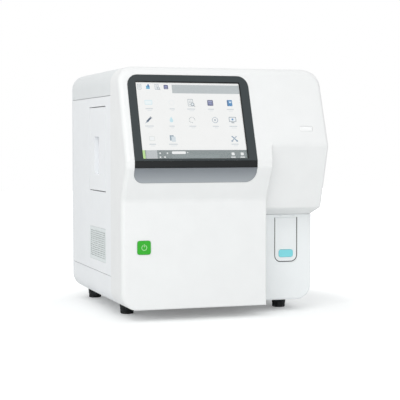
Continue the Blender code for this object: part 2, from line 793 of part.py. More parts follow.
def rounded_form(name, inset, open_y, face, side_fillet, top_fillet, inward):
    """The body's outline as a solid with a rounded edge round its face.

    open_y is the flat end and face gives the other end's place at a height. inward is 1 where the
    flat end lies towards +Y of the face and -1 where it lies towards -Y.
    """
    half = WIDTH / 2 - inset
    radius = CORNER_RADIUS - inset
    low, high = FOOT_HEIGHT + inset, HEIGHT - inset
    turns = [math.pi / 2 * step / CORNER_STEPS for step in range(CORNER_STEPS + 1)]
    outward = [(math.sin(turn), -math.cos(turn)) for turn in turns]
    side = [(half - radius + radius * x, low + radius + radius * z, x, z) for x, z in outward]
    side += [(half, level, 1, 0) for level in (BEND_Z, CREST_LOW_Z, CREST_HIGH_Z)]
    outward = [(math.cos(turn), math.sin(turn)) for turn in turns]
    side += [(half - radius + radius * x, high - radius + radius * z, x, z) for x, z in outward]
    form = bmesh.new()
    rings = []
    for step in range(-1, FILLET_STEPS + 1):
        turn = math.pi / 2 * max(step, 0) / FILLET_STEPS
        right, left = [], []
        for x, z, out_x, out_z in side:
            fillet = side_fillet + (top_fillet - side_fillet) * max(out_z, 0) ** 2
            shift = fillet * (1 - math.cos(turn))
            height = z - out_z * shift
            y = open_y if step < 0 else face(height) + inward * fillet * (1 - math.sin(turn))
            right.append(form.verts.new((x - out_x * shift, y, height)))
            left.append(form.verts.new((out_x * shift - x, y, height)))
        rings.append((right, left))
    for (right, left), (next_right, next_left) in zip(rings, rings[1:]):
        loop, next_loop = right + left[::-1], next_right + next_left[::-1]
        for index in range(len(loop)):
            after = (index + 1) % len(loop)
            form.faces.new((loop[index], loop[after], next_loop[after], next_loop[index]))
    for right, left in (rings[0], rings[-1]):
        for index in range(len(right) - 1):
            form.faces.new((right[index], right[index + 1], left[index + 1], left[index]))
    return make_object(name, form)


def front_form(name, inset):
    """The creased front as a solid, inside its outer surface by an inset."""
    setback = inset / math.cos(LEAN)
    open_y = SEAM_Y + (OVERRUN if inset else 0)

    def face(height):
        return face_y(height) + setback

    return rounded_form(name, inset, open_y, face, SIDE_FILLET - inset, TOP_FILLET - inset, 1)


def screen_opening(name, clearance):
    """The rounded outline of bezel and chin together, as a cutter along Y."""
    corners = [
        (BEZEL_LEFT_X, CHIN_LOW_Z), (BEZEL_RIGHT_X, CHIN_LOW_Z),
        (BEZEL_RIGHT_X, BEZEL_TOP_Z), (BEZEL_LEFT_X, BEZEL_TOP_Z),
    ]
    radii = [CHIN_RADIUS, CHIN_RADIUS, BEZEL_TOP_RADIUS, BEZEL_TOP_RADIUS]
    outline = grown(rounded(corners, radii), clearance)
    return prism(name, outline, "Y", FRONT_Y - OVERRUN, face_y(BEZEL_TOP_Z) + OVERRUN)


def indicator_outline(clearance=0.0):
    """The pill shape of the indicator window on the leaning face."""
    width, height = INDICATOR_WIDTH + 2 * clearance, INDICATOR_HEIGHT + 2 * clearance
    return centred(INDICATOR_X, up_face(INDICATOR_Z), width, height, height / 2 - TOUCH, CORNER_STEPS)


def build_front_cover():
    """The moulded front: slab with the screen on the left, nose over the drawer on the right."""
    cover = front_form("front_cover", 0.0)
    cut(cover, prism("niche", niche_outline(), "X", NICHE_LEFT_X, RIGHT_X + OVERRUN))
    hollow = front_form("hollow", COVER_WALL)
    inner_niche = niche_outline(COVER_WALL)
    cut(hollow, prism("inner niche", inner_niche, "X", NICHE_LEFT_X - COVER_WALL, RIGHT_X + OVERRUN))
    cut(cover, hollow)
    power_hole = centred(POWER_X, POWER_Z, POWER_SIZE, POWER_SIZE, POWER_CORNER)
    cut(
        cover,
        screen_opening("screen opening", GAP),
        prism("power hole", grown(power_hole, BUTTON_CLEARANCE), "Y", FACE_Y - OVERRUN, FACE_Y + OVERRUN),
        face_prism("indicator hole", indicator_outline(GAP), -OVERRUN, OVERRUN),
    )
    return finish(cover, "white cover")


def build_cover_band(name, low_z, high_z):
    """A bent sheet cover: the part of the body's skin between two heights."""
    front, rear = SEAM_Y + GAP, REAR_SEAM_Y - GAP
    band = prism(name, body_outline(), "Y", front, rear)
    cut(band, prism("inside", body_outline(SHEET), "Y", front - OVERRUN, rear + OVERRUN))
    low, high = (LEFT_X - OVERRUN, front - OVERRUN, low_z), (RIGHT_X + OVERRUN, rear + OVERRUN, high_z)
    keep(band, block("heights", low, high))
    return finish(band, "blue white cover")


def side_sheet(name, outer_x, inner_x):
    """The flat sheet of one side, between the tray's edge and the top cover's edge."""
    low, high = sorted((outer_x, inner_x))
    outline = rectangle(SEAM_Y + GAP, REAR_SEAM_Y - GAP, TRAY_TOP_Z + SEAM, TOP_SEAM_Z - SEAM)
    return prism(name, outline, "X", low, high)


def build_side_panels():
    """The left panel with its door and filter openings, and the plain right panel."""
    left = side_sheet("left_side_panel", LEFT_X, LEFT_X + SHEET)
    door = rectangle(DOOR_FRONT_Y, DOOR_REAR_Y, DOOR_LOW_Z, DOOR_HIGH_Z, DOOR_CORNER)
    grille = rectangle(DOOR_FRONT_Y, DOOR_REAR_Y, FILTER_LOW_Z, FILTER_HIGH_Z, FILTER_CORNER)
    openings = ((grown(door, DOOR_GAP), "door opening"), (grown(grille, GAP), "filter opening"))
    for outline, label in openings:
        cut(left, prism(label, outline, "X", LEFT_X - OVERRUN, LEFT_X + OVERRUN))
    finish(left, "blue white cover")
    finish(side_sheet("right_side_panel", RIGHT_X, RIGHT_X - SHEET), "blue white cover")


def vent_boxes():
    """Slots inside the fan's circle, each as wide as the circle is at its height."""
    reach = FAN_BORE - VENT_SLOT
    rows = int(reach / VENT_PITCH)
    boxes = []
    for row in range(-rows, rows + 1):
        half = math.sqrt(reach ** 2 - (row * VENT_PITCH) ** 2)
        middle = FAN_Z + row * VENT_PITCH
        boxes.append((
            (FAN_X - half, REAR_WALL_Y - OVERRUN, middle - VENT_SLOT / 2),
            (FAN_X + half, REAR_FACE_Y + OVERRUN, middle + VENT_SLOT / 2),
        ))
    return boxes


def build_rear_cover():
    """The moulded rear pan with its vent and the openings for inlet, fluid and data ports."""
    cover = rounded_form(
        "rear_cover", 0.0, REAR_SEAM_Y, lambda height: REAR_FACE_Y, REAR_FILLET, REAR_FILLET, -1
    )
    hollow = rounded_form(
        "rear hollow", COVER_WALL, REAR_SEAM_Y - OVERRUN, lambda height: REAR_WALL_Y,
        REAR_FILLET - COVER_WALL, REAR_FILLET - COVER_WALL, -1,
    )
    openings = (
        centred(INLET_X, INLET_Z, INLET_BODY_WIDTH, INLET_BODY_HEIGHT),
        centred(PORTS_X, PORTS_Z, PORTS_WIDTH, PORTS_HEIGHT, PORTS_CORNER),
        centred(DATA_X, DATA_Z, DATA_WIDTH, DATA_HEIGHT, DATA_CORNER),
    )
    cut(cover, hollow)
    for outline in openings:
        cut(cover, prism("opening", grown(outline, GAP), "Y", REAR_WALL_Y - OVERRUN, REAR_FACE_Y + OVERRUN))
    cut(cover, box_set("vents", vent_boxes()))
    return finish(cover, "blue white cover")


def build_sampling_panel():
    """The recessed lower right panel: a shallow pan with the drawer's opening and a top lip."""
    corners = [
        (NICHE_LEFT_X + GAP, FOOT_HEIGHT), (RIGHT_X, FOOT_HEIGHT), (RIGHT_X, PANEL_TOP_Z),
        (NICHE_LEFT_X + GAP, PANEL_TOP_Z),
    ]
    outline = rounded(corners, [0.0, CORNER_RADIUS, 0.0, 0.0])
    panel = prism("sampling_panel", outline, "Y", NICHE_Y, SEAM_Y - GAP)

    def outer_front(point):
        on_left = abs(point.x - corners[0][0]) < TOUCH
        on_top = abs(point.z - PANEL_TOP_Z) < TOUCH
        return abs(point.y - NICHE_Y) < TOUCH and not on_left and not on_top

    round_edges(panel, PANEL_FILLET, SMALL_STEPS, outer_front)
    inside = grown(outline, -COVER_WALL)
    cut(panel, prism("inside", inside, "Y", NICHE_Y + COVER_WALL, SEAM_Y + OVERRUN))
    lip_low_z = PANEL_TOP_Z - LIP_HEIGHT
    lip_right_x = RIGHT_X - PANEL_FILLET
    lip_low = (NICHE_LEFT_X + GAP, NICHE_Y - LIP_PROUD, lip_low_z)
    join(panel, block("lip", lip_low, (lip_right_x, NICHE_Y + LIP_PROUD, PANEL_TOP_Z)))
    notches = [
        (
            (RIGHT_X - inset - NOTCH_WIDTH / 2, NICHE_Y - OVERRUN, PANEL_TOP_Z - NOTCH_HEIGHT),
            (RIGHT_X - inset + NOTCH_WIDTH / 2, NICHE_Y + LIP_PROUD / 2, PANEL_TOP_Z + OVERRUN),
        )
        for inset in NOTCH_INSETS
    ]
    cut(panel, box_set("notches", notches))
    opening = grown(drawer_outline(), DRAWER_CLEARANCE)
    cut(panel, prism("drawer opening", opening, "Y", NICHE_Y - OVERRUN, NICHE_Y + COVER_WALL + OVERRUN))
    return finish(panel, "white cover")


# Side door and air filter

def build_side_door():
    """The service door with its finger recess and its two hinge knuckles."""
    outline = rectangle(DOOR_FRONT_Y, DOOR_REAR_Y, DOOR_LOW_Z, DOOR_HIGH_Z, DOOR_CORNER)
    door = prism("side_door", outline, "X", LEFT_X, LEFT_X + DOOR_SHEET)
    recess = rectangle(
        RECESS_FRONT_Y, RECESS_FRONT_Y + RECESS_LENGTH, RECESS_LOW_Z, RECESS_HIGH_Z, DOOR_CORNER
    )
    recess_floor = LEFT_X + RECESS_DEPTH
    pan = grown(recess, RECESS_WALL)
    join(door, prism("pan", pan, "X", LEFT_X + DOOR_SHEET / 2, recess_floor + RECESS_WALL))
    cut(door, prism("recess", recess, "X", LEFT_X - OVERRUN, recess_floor))
    knuckle_lows = (DOOR_LOW_Z + KNUCKLE_DROP, DOOR_HIGH_Z - KNUCKLE_DROP - KNUCKLE_HEIGHT)
    for low in knuckle_lows:
        join(door, rod("knuckle", "Z", (HINGE_X, HINGE_Y), KNUCKLE_RADIUS, low, low + KNUCKLE_HEIGHT))
    bore_low, bore_high = DOOR_LOW_Z - OVERRUN, DOOR_HIGH_Z + OVERRUN
    cut(door, rod("pin bore", "Z", (HINGE_X, HINGE_Y), PIN_BORE, bore_low, bore_high))
    finish(door, "blue white cover")
    return hang_on_axis(door, (HINGE_X, HINGE_Y, (DOOR_LOW_Z + DOOR_HIGH_Z) / 2))


def build_door_hinge(name, edge_z, up):
    """A bracket inside the side panel, past the door's edge, with its pin in the door's knuckle."""
    near = edge_z + up * (DOOR_GAP + SEAM)
    far = near + up * BRACKET_HEIGHT
    pin_end = edge_z - up * (KNUCKLE_DROP + KNUCKLE_HEIGHT)
    inner_x = LEFT_X + SHEET + GAP
    low_z, high_z = sorted((near, far))
    bracket = block(
        name, (inner_x, HINGE_Y - BRACKET_WIDTH / 2, low_z),
        (inner_x + BRACKET_REACH, HINGE_Y + BRACKET_WIDTH / 2, high_z),
    )
    pin_low, pin_high = sorted((pin_end, (near + far) / 2))
    join(bracket, rod("pin", "Z", (HINGE_X, HINGE_Y), PIN_RADIUS, pin_low, pin_high))
    return finish(bracket, "steel")


def build_air_filter():
    """The louvred grille in the left panel, and the foam pad behind it."""
    outline = rectangle(DOOR_FRONT_Y, DOOR_REAR_Y, FILTER_LOW_Z, FILTER_HIGH_Z, FILTER_CORNER)
    grille = prism("air_filter_grille", outline, "X", LEFT_X, LEFT_X + SHEET)
    height = FILTER_HIGH_Z - FILTER_LOW_Z - 2 * GRILLE_BORDER
    rows = int(height / GRILLE_PITCH)
    first = (FILTER_LOW_Z + FILTER_HIGH_Z - (rows - 1) * GRILLE_PITCH) / 2
    slots = [
        (
            (LEFT_X - OVERRUN, DOOR_FRONT_Y + GRILLE_BORDER, first + row * GRILLE_PITCH - GRILLE_SLOT / 2),
            (LEFT_X + OVERRUN, DOOR_REAR_Y - GRILLE_BORDER, first + row * GRILLE_PITCH + GRILLE_SLOT / 2),
        )
        for row in range(rows)
    ]
    cut(grille, box_set("slots", slots))
    finish(grille, "grey plastic")
    foam_x = LEFT_X + SHEET + GAP
    foam = prism("air_filter", grown(outline, FOAM_LAP), "X", foam_x, foam_x + FOAM_THICKNESS)
    finish(foam, "foam")


# Screen

def face_band(name, low_z, high_z, proud, thickness):
    """A strip that follows the creased face between two heights."""
    levels = [low_z, *(level for level in (CREST_LOW_Z, CREST_HIGH_Z) if low_z < level < high_z), high_z]
    outer = [(face_y(level) - proud, level) for level in levels]
    inner = [(face_y(level) + thickness, level) for level in reversed(levels)]
    return prism(name, outer + inner, "X", BEZEL_LEFT_X, BEZEL_RIGHT_X)


def build_screen():
    """Bezel, chin, touch glass and display module."""
    bezel = face_band("screen_bezel", CREST_LOW_Z + GAP, BEZEL_TOP_Z, BEZEL_PROUD, BEZEL_THICKNESS)
    chin = face_band("screen_chin", CHIN_LOW_Z, CREST_LOW_Z - GAP, BEZEL_PROUD, BEZEL_THICKNESS)
    for piece in (bezel, chin):
        keep(piece, screen_opening("edge", 0.0))
    low_v, high_v = up_face(SCREEN_LOW_Z), up_face(SCREEN_HIGH_Z)
    window = rectangle(SCREEN_LEFT_X, SCREEN_RIGHT_X, low_v, high_v, SCREEN_CORNER)
    cut(bezel, face_prism("window", window, -OVERRUN, OVERRUN))
    glass_outline = grown(window, GLASS_LAP)
    glass_face = -GLASS_DEPTH
    rebate = grown(glass_outline, GAP)
    cut(bezel, face_prism("glass seat", rebate, glass_face - OVERRUN, glass_face + GAP))
    glass_back = glass_face - GLASS_THICKNESS
    glass = face_prism("touch_glass", glass_outline, glass_back, glass_face)
    display_face = glass_back - GAP
    display = face_prism(
        "display_module", grown(window, GLASS_LAP - DISPLAY_EDGE), display_face - DISPLAY_DEPTH, display_face
    )
    finish(bezel, "bezel plastic")
    finish(chin, "silver plastic")
    finish(glass, "glass")
    finish(display, "display")


def build_indicator():
    """The small lens of the status lamp."""
    lens = face_prism("indicator_lens", indicator_outline(), -INDICATOR_THICKNESS, 0.0)
    return finish(lens, "clear plastic")


def build_power_button():
    """The square power button and the switch it presses."""
    cap_back = FACE_Y - POWER_PROUD + POWER_CAP_DEPTH
    stem_back = cap_back + POWER_STEM_LENGTH
    outline = centred(POWER_X, POWER_Z, POWER_SIZE, POWER_SIZE, POWER_CORNER)
    button = prism("power_button", outline, "Y", FACE_Y - POWER_PROUD, cap_back)
    join(button, rod("stem", "Y", (POWER_X, POWER_Z), POWER_STEM_RADIUS, cap_back - POWER_PROUD, stem_back))
    finish(button, "green plastic")
    hang_on_axis(button, (POWER_X, FACE_Y, POWER_Z))
    switch_front = stem_back - POWER_STEM_LENGTH / 2
    body = centred(POWER_X, POWER_Z, SWITCH_SIZE, SWITCH_SIZE)
    switch = prism("power_switch", body, "Y", switch_front, switch_front + SWITCH_DEPTH)
    well_radius, well_back = POWER_STEM_RADIUS + GAP, stem_back + POWER_TRAVEL + GAP
    cut(switch, rod("well", "Y", (POWER_X, POWER_Z), well_radius, switch_front - OVERRUN, well_back))
    return finish(switch, "black plastic")


# Tube drawer and its drive

def drawer_outline():
    """The drawer's front: square at the top and round at the bottom."""
    right_x = DRAWER_LEFT_X + DRAWER_FRONT_WIDTH
    corners = [
        (DRAWER_LEFT_X, DRAWER_LOW_Z), (right_x, DRAWER_LOW_Z),
        (right_x, DRAWER_TOP_Z), (DRAWER_LEFT_X, DRAWER_TOP_Z),
    ]
    return rounded(corners, [DRAWER_CORNER, DRAWER_CORNER, 0.0, 0.0])


def build_tube_drawer():
    """The drawer: its front, its tray and the runners on the tray's sides."""
    drawer = prism("tube_drawer", drawer_outline(), "Y", NICHE_Y, DRAWER_BACK_Y)
    half = TRAY_WIDTH / 2
    floor_top = TRAY_FLOOR_Z + TRAY_FLOOR
    wall_top = floor_top + TRAY_WALL_HEIGHT
    channel = [
        (DRAWER_X - half, TRAY_FLOOR_Z), (DRAWER_X + half, TRAY_FLOOR_Z), (DRAWER_X + half, wall_top),
        (DRAWER_X + half - TRAY_WALL, wall_top), (DRAWER_X + half - TRAY_WALL, floor_top),
        (DRAWER_X - half + TRAY_WALL, floor_top), (DRAWER_X - half + TRAY_WALL, wall_top),
        (DRAWER_X - half, wall_top),
    ]
    tray_front = DRAWER_BACK_Y - DRAWER_FRONT_THICKNESS / 2
    tray_rear = DRAWER_BACK_Y + TRAY_LENGTH
    join(drawer, prism("tray", channel, "Y", tray_front, tray_rear))
    runner_front, runner_top = DRAWER_BACK_Y + RAIL_WALL, RUNNER_Z + RUNNER_HEIGHT
    for side in (-1, 1):
        inner, outer = DRAWER_X + side * (half - TRAY_WALL / 2), DRAWER_X + side * (half + RUNNER_WIDTH)
        low_x, high_x = sorted((inner, outer))
        join(drawer, block("runner", (low_x, runner_front, RUNNER_Z), (high_x, tray_rear, runner_top)))
    well = grown(start_outline(), BUTTON_CLEARANCE)
    well_back = NICHE_Y - START_PROUD + START_DEPTH + START_TRAVEL + GAP
    boss = prism("button boss", grown(well, TRAY_WALL), "Y", tray_front, well_back + TRAY_WALL)
    join(drawer, boss)
    cut(drawer, prism("button well", well, "Y", NICHE_Y - OVERRUN, well_back))
    finish(drawer, "white cover")
    return hang_on_axis(drawer, (DRAWER_X, NICHE_Y, TRAY_FLOOR_Z))


def start_outline():
    """The start button's face."""
    return centred(DRAWER_X, START_Z, START_WIDTH, START_HEIGHT, START_CORNER)


def build_start_button(drawer):
    """The start button on the drawer's front."""
    front = NICHE_Y - START_PROUD
    button = prism("start_button", start_outline(), "Y", front, front + START_DEPTH)
    finish(button, "cyan plastic")
    return hang_on_axis(button, (DRAWER_X, NICHE_Y, START_Z), drawer)


def cup(name, centre, low_z, height, radius, bore, floor, steps=ROUND_STEPS):
    """A round cup, open at the top."""
    top = low_z + height
    inside = low_z + floor
    profile = [(0, low_z), (radius, low_z), (radius, top), (bore, top), (bore, inside), (0, inside)]
    return turned(name, profile, "Z", centre, steps)


def build_tube_holder(drawer):
    """The cup that holds the sample tube upright in the drawer."""
    holder = cup(
        "tube_holder", (TUBE_X, TUBE_Y), SOCKET_LOW_Z, SOCKET_HEIGHT, SOCKET_RADIUS, SOCKET_BORE, SOCKET_FLOOR
    )
    finish(holder, "grey plastic")
    carry(drawer, holder)
    return holder


def build_drawer_rails():
    """The two rails that the drawer's runners slide in."""
    half = TRAY_WIDTH / 2
    groove_low = RUNNER_Z - RUNNING_CLEARANCE
    groove_high = RUNNER_Z + RUNNER_HEIGHT + RUNNING_CLEARANCE
    near = half + RUNNING_CLEARANCE
    deep = half + RUNNER_WIDTH + RUNNING_CLEARANCE
    front = DRAWER_BACK_Y + RAIL_FRONT_SETBACK
    for name, side in (("drawer_rail_left", -1), ("drawer_rail_right", 1)):
        section = [
            (near, SHELF_TOP_Z + GAP), (deep + RAIL_WALL, SHELF_TOP_Z + GAP),
            (deep + RAIL_WALL, RAIL_TOP_Z), (near, RAIL_TOP_Z),
            (near, groove_high), (deep, groove_high), (deep, groove_low), (near, groove_low),
        ]
        outline = [(DRAWER_X + side * u, v) for u, v in section]
        finish(prism(name, outline, "Y", front, front + RAIL_LENGTH), "steel")


def tooth_half_angle(radius):
    """Half the angle that a pinion tooth takes at a radius, by the involute."""
    base = PITCH_RADIUS * math.cos(PRESSURE_ANGLE)
    angle = math.acos(min(base / radius, 1))
    at_pitch = math.pi / (2 * PINION_TEETH) - TOOTH_BACKLASH / (2 * PITCH_RADIUS)
    return at_pitch + math.tan(PRESSURE_ANGLE) - PRESSURE_ANGLE - (math.tan(angle) - angle)


def pinion_outline():
    """The pinion's toothed outline, with a gap between two teeth facing the rack."""
    base = PITCH_RADIUS * math.cos(PRESSURE_ANGLE)
    root, tip = PITCH_RADIUS - DEDENDUM_SHARE * GEAR_MODULE, PITCH_RADIUS + GEAR_MODULE
    radii = [base + (tip - base) * step / FLANK_STEPS for step in range(FLANK_STEPS + 1)]
    points = []
    for tooth in range(PINION_TEETH):
        middle = math.pi + 2 * math.pi * (tooth + 1 / 2) / PINION_TEETH
        flank = [(root, tooth_half_angle(base))] + [(radius, tooth_half_angle(radius)) for radius in radii]
        rising = [(radius, middle - half) for radius, half in flank]
        falling = [(radius, middle + half) for radius, half in reversed(flank)]
        points += rising + falling
    return [(PINION_X + reach * math.cos(turn), PINION_Y + reach * math.sin(turn)) for reach, turn in points]


def build_drawer_drive(drawer):
    """The rack under the tray, the pinion that drives it and the motor under the shelf."""
    pitch = math.pi * GEAR_MODULE
    root_x = RACK_PITCH_X - DEDENDUM_SHARE * GEAR_MODULE
    tip_x = RACK_PITCH_X + GEAR_MODULE
    half_pitch_width = pitch / 4 - TOOTH_BACKLASH / 2
    half_root = half_pitch_width + DEDENDUM_SHARE * GEAR_MODULE * math.tan(PRESSURE_ANGLE)
    half_tip = half_pitch_width - GEAR_MODULE * math.tan(PRESSURE_ANGLE)
    teeth_ahead = 2
    teeth_behind = int(DRAWER_TRAVEL / pitch) + teeth_ahead
    places = [PINION_Y + pitch * index for index in range(-teeth_ahead, teeth_behind + 1)]
    rack_front, rack_rear = places[0] - pitch / 2, places[-1] + pitch / 2
    outline = [(RACK_X, rack_rear), (RACK_X, rack_front), (root_x, rack_front)]
    for place in places:
        outline += [
            (root_x, place - half_root), (tip_x, place - half_tip),
            (tip_x, place + half_tip), (root_x, place + half_root),
        ]
    outline.append((root_x, rack_rear))
    rack = prism("drawer_rack", outline, "Z", RACK_TOP_Z - RACK_HEIGHT, RACK_TOP_Z)
    finish(rack, "black plastic")
    carry(drawer, rack)
    pinion_low = RACK_TOP_Z - RACK_HEIGHT - GAP
    pinion = prism("drawer_pinion", pinion_outline(), "Z", pinion_low, pinion_low + PINION_HEIGHT)
    shaft_low, shaft_top = pinion_low - PINION_SHAFT_LENGTH, pinion_low + PINION_HEIGHT / 2
    join(pinion, rod("shaft", "Z", (PINION_X, PINION_Y), PINION_SHAFT_RADIUS, shaft_low, shaft_top))
    finish(pinion, "brass")
    hang_on_axis(pinion, (PINION_X, PINION_Y, pinion_low))
    motor_top = SHELF_Z - GAP
    motor = rod(
        "drawer_motor", "Z", (PINION_X, PINION_Y), DRAWER_MOTOR_RADIUS,
        motor_top - DRAWER_MOTOR_HEIGHT, motor_top, ROUND_STEPS,
    )
    bore_radius = PINION_SHAFT_RADIUS + RUNNING_CLEARANCE
    bore_low, bore_top = motor_top - MOTOR_BORE_DEPTH, motor_top + OVERRUN
    cut(motor, rod("bore", "Z", (PINION_X, PINION_Y), bore_radius, bore_low, bore_top))
    finish(motor, "steel")


# Sampler

def build_sampler_frame():
    """The bent sheet that stands on the tray and carries drawer, baths and sampling carriage."""
    low_z = BODY_FLOOR_Z + GAP
    high = (FRAME_RIGHT_X, FRAME_REAR_Y, FRAME_TOP_Z)
    frame = block("sampler_frame", (FRAME_X, FRAME_FRONT_Y, low_z), high)
    middle_x = (FRAME_X + FRAME_RIGHT_X) / 2
    flange_low = (FRAME_X - FOOT_FLANGE, FRAME_FRONT_Y, low_z)
    flange = block("flange", flange_low, (middle_x, FRAME_REAR_Y, low_z + SHEET))
    tongue_front, tongue_rear = DRAWER_BACK_Y + RAIL_FRONT_SETBACK, FRAME_FRONT_Y + SHEET
    shelf = block("shelf", (middle_x, FRAME_FRONT_Y, SHELF_Z), (SHELF_RIGHT_X, SHELF_REAR_Y, SHELF_TOP_Z))
    tongue_low = (FRAME_RIGHT_X, tongue_front, SHELF_Z)
    tongue = block("tongue", tongue_low, (SHELF_RIGHT_X, tongue_rear, SHELF_TOP_Z))
    leg_left, leg_top = SHELF_RIGHT_X - SHEET, SHELF_Z + SHEET / 2
    leg = block("leg", (leg_left, FRAME_FRONT_Y, low_z), (SHELF_RIGHT_X, SHELF_REAR_Y, leg_top))
    join(frame, flange, shelf, tongue, leg)
    tab_right = FRAME_RIGHT_X + ROD_TAB_WIDTH
    for tab_y in (FRAME_FRONT_Y, ROD_TAB_REAR_Y):
        join(frame, block("tab", (middle_x, tab_y, ROD_TAB_LOW_Z), (tab_right, tab_y + SHEET, FRAME_TOP_Z)))
    front, rear = FRAME_FRONT_Y - OVERRUN, ROD_TAB_REAR_Y + OVERRUN
    for height, radius in (
        (ROD_LOW_Z, ROD_RADIUS), (ROD_HIGH_Z, ROD_RADIUS), (CARRIAGE_SCREW_Z, SCREW_RADIUS)
    ):
        cut(frame, rod("hole", "Y", (ROD_X, height), radius + RUNNING_CLEARANCE, front, rear))
    shaft_hole = rod(
        "shaft hole", "Z", (PINION_X, PINION_Y), PINION_SHAFT_RADIUS + RUNNING_CLEARANCE,
        SHELF_Z - OVERRUN, SHELF_TOP_Z + SHEET,
    )
    cut(frame, shaft_hole)
    return finish(frame, "zinc sheet")


def build_carriage_guides():
    """The two rods, the screw and the motor that carry and drive the sampling carriage."""
    front = FRAME_FRONT_Y - ROD_OVERHANG
    rear = ROD_TAB_REAR_Y + SHEET + ROD_OVERHANG
    finish(rod("carriage_rod_lower", "Y", (ROD_X, ROD_LOW_Z), ROD_RADIUS, front, rear), "steel")
    finish(rod("carriage_rod_upper", "Y", (ROD_X, ROD_HIGH_Z), ROD_RADIUS, front, rear), "steel")
    screw_rear = CARRIAGE_MOTOR_Y + CARRIAGE_MOTOR_LENGTH / 2
    screw = rod("carriage_screw", "Y", (ROD_X, CARRIAGE_SCREW_Z), SCREW_RADIUS, front, screw_rear)
    finish(screw, "steel")
    hang_on_axis(screw, (ROD_X, front, CARRIAGE_SCREW_Z))
    outline = centred(ROD_X, CARRIAGE_SCREW_Z, CARRIAGE_MOTOR_SIZE, CARRIAGE_MOTOR_SIZE, MOTOR_CORNER)
    motor_rear = CARRIAGE_MOTOR_Y + CARRIAGE_MOTOR_LENGTH
    motor = prism("carriage_motor", outline, "Y", CARRIAGE_MOTOR_Y, motor_rear)
    bore_radius, bore_front = SCREW_RADIUS + RUNNING_CLEARANCE, CARRIAGE_MOTOR_Y - OVERRUN
    bore = rod("bore", "Y", (ROD_X, CARRIAGE_SCREW_Z), bore_radius, bore_front, screw_rear + GAP)
    finish(cut(motor, bore), "black plastic")


def build_sampler_carriage():
    """The carriage: a block on the rods, and a column with tabs for the needle's drive."""
    half = CARRIAGE_WIDTH / 2
    carriage = block(
        "sampler_carriage", (ROD_X - half, CARRIAGE_FRONT_Y, ROD_TAB_LOW_Z),
        (COLUMN_X + COLUMN_THICKNESS / 2, CARRIAGE_REAR_Y, FRAME_TOP_Z),
    )
    column = block(
        "column", (COLUMN_X, COLUMN_FRONT_Y, COLUMN_LOW_Z), (COLUMN_FACE_X, CARRIAGE_REAR_Y, FRAME_TOP_Z)
    )
    tab_x = COLUMN_X + COLUMN_THICKNESS / 2
    lower = block(
        "lower tab", (tab_x, COLUMN_FRONT_Y, COLUMN_LOW_Z),
        (TUBE_X + COLLAR_RADIUS, NEEDLE_SCREW_Y + COLLAR_RADIUS, COLUMN_LOW_Z + COLUMN_THICKNESS),
    )
    upper = block(
        "motor shelf", (tab_x, NEEDLE_SCREW_Y - NEEDLE_MOTOR_SIZE / 2, MOTOR_SHELF_Z),
        (COLUMN_SHELF_X, CARRIAGE_REAR_Y, MOTOR_SHELF_Z + COLUMN_THICKNESS),
    )
    join(carriage, column, lower, upper)
    front, rear = CARRIAGE_FRONT_Y - OVERRUN, CARRIAGE_REAR_Y + OVERRUN
    for height, radius in (
        (ROD_LOW_Z, ROD_RADIUS), (ROD_HIGH_Z, ROD_RADIUS), (CARRIAGE_SCREW_Z, SCREW_RADIUS)
    ):
        cut(carriage, rod("bore", "Y", (ROD_X, height), radius + RUNNING_CLEARANCE, front, rear))
    screw_radius = SCREW_RADIUS + RUNNING_CLEARANCE
    low, top = COLUMN_LOW_Z - OVERRUN, MOTOR_SHELF_Z + 2 * COLUMN_THICKNESS
    cut(
        carriage,
        rod("screw hole", "Z", (TUBE_X, NEEDLE_SCREW_Y), screw_radius, low, top),
        rod("needle hole", "Z", (TUBE_X, TUBE_Y), COLLAR_BORE, low, COLUMN_LOW_Z + OVERRUN),
    )
    finish(carriage, "aluminium")
    return hang_on_axis(carriage, (ROD_X, CARRIAGE_FRONT_Y, CARRIAGE_SCREW_Z))


